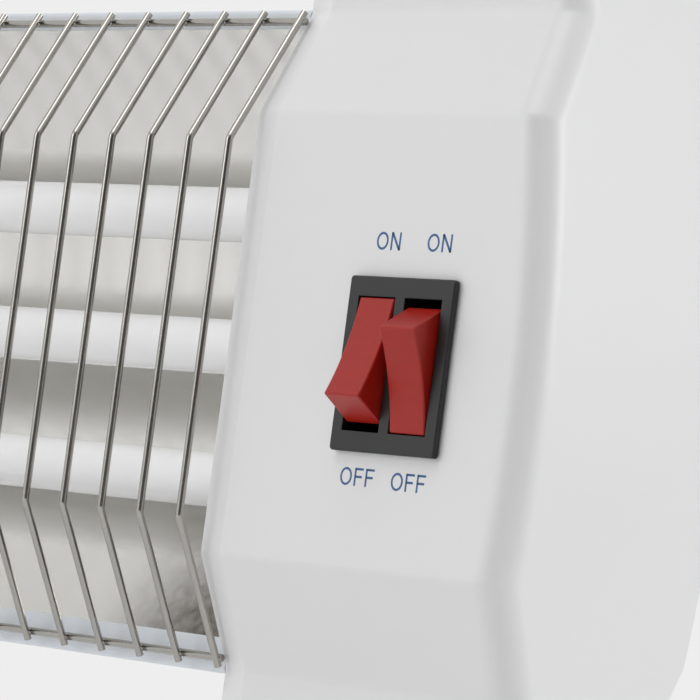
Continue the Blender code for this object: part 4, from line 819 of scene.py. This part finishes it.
class QUARTZHEATER_OT_tubes(bpy.types.Operator):
    """Build the three milky quartz tubes and the ceramic caps on their ends"""
    bl_idname = "quartz_heater.tubes"
    bl_label = "Tubes"

    def execute(self, context):
        polish, edge = 0.0003, 0.0004
        flange_thick, neck, socket, tail_hole = 0.002, 0.0070, 0.0025, 0.0011
        for label in TUBES:
            low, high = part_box("quartz_tube_" + label)
            _, y, z = box_middle("quartz_tube_" + label)
            radius = (high.y - low.y) / 2
            bore = radius - 0.0011
            end = high.x
            profile = [(radius - polish, -end), (radius, -end + polish)]
            profile += [(radius, -end + 2 * end * step / 12) for step in range(1, 12)]
            profile += [(radius, end - polish), (radius - polish, end), (bore, end), (bore, -end)]
            mesh = turned("tube", profile, (0, y, z), (1, 0, 0), sides=64)
            piece("milky_tube_" + label, mesh, "milky_quartz", "quartz_tube_" + label)
            for end_label, side in SIDES:
                node = end_label + "_cap_" + label
                low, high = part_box(node)
                near, far = sorted((abs(low.x), abs(high.x)))
                flange = (high.z - low.z) / 2
                back = near + flange_thick
                profile = [
                    (flange - edge, near), (flange, near + edge), (flange, back - edge),
                    (flange - edge, back), (neck, back), (neck, far - edge), (neck - edge, far),
                    (tail_hole, far), (tail_hole, far - socket),
                    (radius + GAP, far - socket), (radius + GAP, near),
                ]
                mesh = turned("cap", profile, (0, y, z), (side, 0, 0))
                piece("ceramic_cap_%s_%s" % (end_label, label), mesh, "ceramic", node)
        return {"FINISHED"}


# Grille

def wire_rings(x, path, radius):
    """Rings of a round wire along a path of depth and rise pairs."""
    rings = []
    for index, point in enumerate(path):
        run = direction(path, index)
        across = Vector((-run.y, run.x))
        ring = []
        for u, v in circle(radius, 12):
            offset = across * v
            ring.append(at(x + u, point.x + offset.x, point.y + offset.y))
        rings.append(ring)
    return rings


class QUARTZHEATER_OT_grille(bpy.types.Operator):
    """Build the welded wire grille"""
    bl_idname = "quartz_heater.grille"
    bl_label = "Grille"

    def execute(self, context):
        sizes = context.scene.quartz_heater_sizes
        run = math.atan2(RAIL_DEPTH - WIRE_FRONT, RAIL_HALF - BEND_HALF)
        weld = (WIRE + RAIL - 0.0002) / math.cos(run)      # from wire to rail, in depth
        slope = (RAIL_DEPTH - weld - WIRE_FRONT) / (RAIL_HALF - BEND_HALF)
        end_rise = RAIL_HALF + WIRE_PAST
        end_depth = WIRE_FRONT + slope * (end_rise - BEND_HALF)
        path = [(end_depth, end_rise), (WIRE_FRONT, BEND_HALF),
                (WIRE_FRONT, -BEND_HALF), (end_depth, -end_rise)]
        path = folded(path, sizes.bend_radius, 8)
        weld_depth = RAIL_DEPTH - weld / 2 - 0.0001
        shape = bmesh.new()
        first = OPENING + GRILLE_PAST
        pitch = 2 * first / (sizes.wire_count - 1)
        for index in range(sizes.wire_count):
            x = -first + index * pitch
            skin(shape, wire_rings(x, path, WIRE))
            for sign in (1, -1):
                nugget = []
                for share, width in ((-1, 0.5), (-0.5, 1.0), (0.5, 1.0), (1, 0.5)):
                    along = x + share * WELD_HALF
                    nugget.append([
                        at(along, weld_depth + u * width, sign * RAIL_HALF + v * width)
                        for u, v in circle(WELD_RADIUS, 12)])
                skin(shape, nugget)
        for sign in (1, -1):
            rail = [(RAIL_DEPTH + u, sign * RAIL_HALF + v) for u, v in circle(RAIL, 20)]
            skin(shape, extruded(rail, -first, first))
        piece("chromed_grille", to_mesh("grille", shape, 40), "chromed_wire", "front_grille")
        return {"FINISHED"}


# Switch

def reached(reach, degrees):
    """Depth and rise of a point of a rocker, from its reach and angle about the pivot."""
    angle = math.radians(degrees)
    return -reach * math.sin(angle), reach * math.cos(angle)


def rocker_mesh(side, tilt):
    """A rocker about its pivot, turned to its rest position."""
    ridge, skirt = reached(*RIDGE), reached(*SKIRT)
    outline = []
    for step in range(25):
        share = 2 * step / 24 - 1
        outline.append((ridge[0] + ROCKER_DIP * (1 - share ** 2), -share * ridge[1]))
    base_depth, base_half = ROCKER_BASE
    outline += [(skirt[0], -skirt[1]), (base_depth, -base_half), (base_depth, base_half), skirt]
    x, _, z = box_middle("switch_frame")
    pivot = Vector((x + side * ROCKER_X, FACE_Y + PIVOT_DEPTH, z))
    turn = Matrix.Rotation(math.radians(tilt), 3, "X")
    rings = [[pivot + turn @ Vector((across, depth, rise)) for depth, rise in outline]
             for across in (-ROCKER_HALF, ROCKER_HALF)]
    return lofted("rocker", rings, 30)


class QUARTZHEATER_OT_switch(bpy.types.Operator):
    """Build the switch's bezel and body and its two rockers"""
    bl_idname = "quartz_heater.switch"
    bl_label = "Switch"

    def execute(self, context):
        low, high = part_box("switch_frame")
        middle = Vector(box_middle("switch_frame"))
        rise = middle.z - MIDDLE_Z
        half_width, half_height = (high.x - low.x) / 2, (high.z - low.z) / 2
        rings = []
        for depth, inset in ((-GAP, 0), (-0.0013, 0), (-0.0015, 0.0001), (-0.0016, 0.0003)):
            ring = rectangle((-half_width + inset, -half_height + inset),
                             (half_width - inset, half_height - inset), 0.0006, 5)
            rings.append([Vector((middle.x + u, FACE_Y + depth, middle.z + v)) for u, v in ring])
        body = block(middle.x, SWITCH_HALF, -0.0008, 0.015, rise, SWITCH_HALF_HEIGHT)
        mesh = carve(lofted("switch", rings, 30), [body], operation="UNION")
        tools = []
        for side in (-1, 1):
            x = middle.x + side * ROCKER_X
            opening = block(x, WELL_HALF, -0.004, -0.0001, rise, 0.0119)
            well = block(x, WELL_HALF, -0.0004, 0.0135, rise, 0.0132)
            tools += [opening, well]
        mesh = carve(mesh, tools, 30)
        piece("bezel_and_body", mesh, "black_nylon", "switch_frame", bevel=0.00015)
        for label, side in (("left", -1), ("right", 1)):
            piece("dished_rocker_" + label, rocker_mesh(side, side * ROCKER_TILT), "red_plastic",
                  label + "_rocker", body=label + "_rocker", bevel=0.00035)
        return {"FINISHED"}


# Lettering

def stroke(shape, start, end, width, front, back):
    """A straight printed stroke between two points of the front face, as X and rise."""
    start, end = Vector(start), Vector(end)
    run = (end - start).normalized()
    across = Vector((-run.y, run.x)) * (width / 2)
    corners = [start - across, end - across, end + across, start + across]
    skin(shape, extruded(corners, front, back, "Y"))


class QUARTZHEATER_OT_lettering(bpy.types.Operator):
    """Print ON above and OFF below each rocker"""
    bl_idname = "quartz_heater.lettering"
    bl_label = "Lettering"

    def execute(self, context):
        sizes = context.scene.quartz_heater_sizes
        middle, _, z = box_middle("switch_frame")
        rise = z - MIDDLE_Z
        height, width = sizes.letter_height, sizes.letter_stroke
        half = height / 2
        front, back = -0.00002, 0.0002
        widths = {"O": 0.90, "N": 0.76, "F": 0.66}         # as shares of the height
        space = height * 0.19
        shape = bmesh.new()

        def ring(x, z):
            outer, inner = [], []
            for u, v in circle(1.0, 40):
                outer.append((x + u * height * 0.45, z + v * half))
                inner.append((x + u * (height * 0.45 - width), z + v * (half - width)))
            rows = []
            for points, depth in ((outer, back), (outer, front), (inner, front), (inner, back)):
                rows.append([at(u, depth, v) for u, v in points])
            skin(shape, rows, loop=True)

        def line(start, end, thick=width):
            stroke(shape, start, end, thick, front, back)

        def word(x, z, letters):
            total = sum(widths[letter] * height for letter in letters) + space * (len(letters) - 1)
            left = x - total / 2
            for letter in letters:
                across = widths[letter] * height
                if letter == "O":
                    ring(left + across / 2, z)
                else:
                    stem = left + width / 2
                    line((stem, z - half), (stem, z + half))
                if letter == "N":
                    end = left + across - width / 2
                    line((end, z - half), (end, z + half))
                    line((stem, z + half * 0.97), (end, z - half * 0.97), width * 1.1)
                if letter == "F":
                    for level, share in ((half - width / 2, 1.0), (half * 0.02, 0.88)):
                        line((stem, z + level), (left + across * share, z + level))
                left += across + space

        for x, above, letters in MARKS:
            word(middle + x, rise + above, letters)
        piece("printed_marks", to_mesh("marks", shape), "white_plastic", finish_name="ink",
              weighted=False)
        return {"FINISHED"}


# Handle, screws and bush

class QUARTZHEATER_OT_handle(bpy.types.Operator):
    """Build the carry handle on the back"""
    bl_idname = "quartz_heater.handle"
    bl_label = "Handle"

    def execute(self, context):
        low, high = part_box("carry_handle")
        back = low.y - FACE_Y
        half, grip = high.x, 0.046
        thick, standoff, foot = 0.008, 0.028, 0.015
        half_height = (high.z - low.z) / 2
        middle = box_middle("carry_handle")[2] - MIDDLE_Z
        palm = back + standoff
        outer = [(-half, back), (-half, back + thick), (-grip, palm + thick),
                 (grip, palm + thick), (half, back + thick), (half, back)]
        inner = [(half - foot, back), (grip - thick, palm), (-grip + thick, palm),
                 (-half + foot, back)]
        radii = [0.0018, 0.003, 0.008, 0.008, 0.003, 0.0018, 0.0018, 0.006, 0.006, 0.0018]
        steps = [6, 6, 10, 10, 6, 6, 6, 8, 8, 6]
        outline = rounded(outer + inner, radii, steps)
        rings = extruded(outline, middle - half_height, middle + half_height, "Z")
        piece("strap_handle", lofted("handle", rings, 40), "white_plastic", "carry_handle",
              bevel=0.0015)
        return {"FINISHED"}


# Name, axis, way from the head and length of the screws; the first name that fits counts
SCREWS = (("cover", 1, -1, 0.010), ("foot", 2, 1, 0.010), ("handle", 1, 1, 0.010),
          ("right", 0, -1, 0.007), ("left", 0, 1, 0.007))


def screw_mesh(seat, axis, length):
    """A pan-head screw with a cross recess; the shank runs from the seat along the axis."""
    profile = [
        (0.0004, -0.0020), (0.0012, -0.00195), (0.0021, -0.0017), (0.0027, -0.0012),
        (0.0030, -0.0006), (0.0030, -0.0001), (0.0029, 0), (0.00125, 0),
        (0.00125, length - 0.0015), (0.0004, length),
    ]
    screw = turned("screw", profile, seat, axis, sides=40, loop=False)
    turn = Vector((0, 0, 1)).rotation_difference(Vector(axis)).to_matrix()
    bars = []
    for long_half, short_half in ((0.0017, 0.00035), (0.00035, 0.0017)):
        rings = []
        for along, share in ((-0.003, 1.0), (-0.0010, 0.55)):
            rings.append([
                Vector(seat) + turn @ Vector((u * long_half * share, v * short_half * share, along))
                for u, v in ((-1, -1), (1, -1), (1, 1), (-1, 1))])
        bars.append(lofted("bar", rings))
    return carve(screw, bars, 35)


class QUARTZHEATER_OT_screws(bpy.types.Operator):
    """Build the cross-head screws and the cord inlet's bush"""
    bl_idname = "quartz_heater.screws"
    bl_label = "Screws and bush"

    def execute(self, context):
        head, rim_edge, flange = 0.0020, 0.0006, 0.0022
        for node in sorted(frame["nodes"]):
            if "_screw" not in node:
                continue
            index, way, length = next(row[1:] for row in SCREWS if row[0] in node)
            low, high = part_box(node)
            seat, axis = box_middle(node), [0, 0, 0]
            seat[index] = (low if way > 0 else high)[index] + way * head
            axis[index] = way
            piece("cross_head_" + node, screw_mesh(seat, axis, length), "plated_steel", node)
        low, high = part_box("cord_inlet_bush")
        x, _, z = box_middle("cord_inlet_bush")
        rim, bore, neck = (high.x - low.x) / 2, 0.0032, 0.0044
        inner_rim = rim - 2 * GAP
        seat = high.y - flange + GAP
        profile = [
            (rim, seat), (rim, high.y - 0.0007), (rim - 0.0007, high.y), (bore + rim_edge, high.y),
            (bore, high.y - rim_edge), (bore, low.y + rim_edge), (bore + rim_edge, low.y),
            (inner_rim - rim_edge, low.y), (inner_rim, low.y + rim_edge),
            (inner_rim, low.y + flange), (neck, low.y + flange), (neck, seat),
        ]
        mesh = turned("bush", profile, (x, 0, z), (0, 1, 0))
        piece("inlet_bush", mesh, "grey_rubber", "cord_inlet_bush")
        return {"FINISHED"}


# Stage

def flat_stage(name, corners, material):
    """A flat piece of the stage."""
    mesh = bpy.data.meshes.new(name)
    mesh.from_pydata(corners, [], [range(len(corners))])
    mesh.materials.append(material)
    thing = link(name, mesh)
    return thing


class QUARTZHEATER_OT_stage(bpy.types.Operator):
    """Set the floor, the soft studio light and the camera"""
    bl_idname = "quartz_heater.stage"
    bl_label = "Stage"

    def execute(self, context):
        scene = context.scene
        colour = scene.quartz_heater_colours.stage
        paper = finish("matt_paper", colour, 0.9, shade=0.004, depth_mm=0.002)
        floor = flat_stage("floor", [(x, y, 0) for x, y in circle(1.3, 96)], paper)
        floor.location = (0, 0, -0.0001)
        # A dark card behind the camera, hidden from it, gives the bright metal its dark lines
        felt = finish("grey_felt", linear("505050"), 0.9, {"Specular IOR Level": 0.1})
        card = flat_stage("grey_card", [(0.32, -1.50, -0.05), (1.64, -0.16, -0.05),
                                        (1.64, -0.16, 1.05), (0.32, -1.50, 1.05)], felt)
        card.visible_camera = False

        world = bpy.data.worlds.new("studio")
        scene.world = world
        world.use_nodes = True
        tree = world.node_tree
        tree.nodes.clear()
        # The camera, and metal and glass seen by it, show the stage's plain background
        path = add(tree, "LightPath")
        direct = add(tree, "Math", {"operation": "LESS_THAN", 1: 0.5},
                     {0: path.outputs["Diffuse Depth"]})
        through = combine(tree, "MAXIMUM", path.outputs["Is Glossy Ray"],
                          path.outputs["Is Transmission Ray"])
        shining = combine(tree, "MULTIPLY", through, direct.outputs[0])
        seen = combine(tree, "MAXIMUM", path.outputs["Is Camera Ray"], shining)
        # Matt surfaces get soft light from all round, most from behind the heater's left end
        place = add(tree, "TexCoord")
        shares = []
        for aim, start, end, low, high in (
            ((0.79, -0.58, -0.20), -0.1, 0.7, 0.80, 0.04),
            ((-1.0, 0.0, 0.0), 0.4, 0.7, 0.0, 0.27),
        ):
            toward = add(tree, "VectorMath", {"operation": "DOT_PRODUCT", 1: aim},
                         {0: place.outputs["Generated"]})
            shares.append(ramp(tree, toward.outputs["Value"], start, end, low, high))
        ambient = add(tree, "Background", {"Color": (0.99, 0.99, 1.0, 1)},
                      {"Strength": combine(tree, "ADD", *shares)})
        shown = add(tree, "Background", {"Color": (*colour, 1), "Strength": 1.0})
        mixed = add(tree, "MixShader", None,
                    {0: seen, 1: ambient.outputs[0], 2: shown.outputs[0]})
        add(tree, "OutputWorld", None, {"Surface": mixed.outputs[0]})

        for name, place, size, power in (
            ("front_softbox", (-0.50, -1.70, 0.75), 0.9, 6.0),
            ("side_softbox", (1.55, 0.75, 0.75), 0.8, 11.6),
            ("high_softbox", (0.10, -0.80, 1.70), 0.9, 7.5),
        ):
            data = bpy.data.lights.new(name, "AREA")
            data.size = size
            data.energy = power
            lamp = link(name, data)
            lamp.location = place
            aim = Vector((0.12, 0, 0.15)) - Vector(place)
            lamp.rotation_euler = aim.to_track_quat("-Z", "Y").to_euler()

        data = bpy.data.cameras.new("camera")
        data.sensor_width = 36.0
        data.lens = 225.94
        data.clip_start = 0.05
        camera = link("camera", data)
        camera.location = (0.70785, -0.56943, 0.10470)
        camera.rotation_euler = [math.radians(angle) for angle in (93.6044, -7.4527, 45.0319)]
        scene.camera = camera
        scene.view_settings.view_transform = "Standard"
        return {"FINISHED"}


# Add-on

OPERATORS = (
    QUARTZHEATER_OT_finishes,
    QUARTZHEATER_OT_end_housings,
    QUARTZHEATER_OT_rear_covers,
    QUARTZHEATER_OT_feet,
    QUARTZHEATER_OT_shell,
    QUARTZHEATER_OT_reflector,
    QUARTZHEATER_OT_tubes,
    QUARTZHEATER_OT_grille,
    QUARTZHEATER_OT_switch,
    QUARTZHEATER_OT_lettering,
    QUARTZHEATER_OT_handle,
    QUARTZHEATER_OT_screws,
    QUARTZHEATER_OT_stage,
)


class QUARTZHEATER_PT_build(bpy.types.Panel):
    """The heater's steps, sizes and colours in the sidebar"""
    bl_idname = "QUARTZHEATER_PT_build"
    bl_label = "Quartz heater"
    bl_space_type = "VIEW_3D"
    bl_region_type = "UI"
    bl_category = "Heater"

    def draw(self, context):
        layout = self.layout
        for step in OPERATORS:
            layout.operator(step.bl_idname)
        for group in (context.scene.quartz_heater_sizes, context.scene.quartz_heater_colours):
            for name in group.__annotations__:
                layout.prop(group, name)


CLASSES = (QuartzHeaterSizes, QuartzHeaterColours) + OPERATORS + (QUARTZHEATER_PT_build,)


def register():
    for item in CLASSES:
        bpy.utils.register_class(item)
    bpy.types.Scene.quartz_heater_sizes = PointerProperty(type=QuartzHeaterSizes)
    bpy.types.Scene.quartz_heater_colours = PointerProperty(type=QuartzHeaterColours)


def unregister():
    del bpy.types.Scene.quartz_heater_colours
    del bpy.types.Scene.quartz_heater_sizes
    for item in reversed(CLASSES):
        bpy.utils.unregister_class(item)


def main():
    register()
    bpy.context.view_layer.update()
    for step in OPERATORS:
        getattr(bpy.ops.quartz_heater, step.bl_idname.split(".")[1])()


if __name__ == "__main__":
    main()
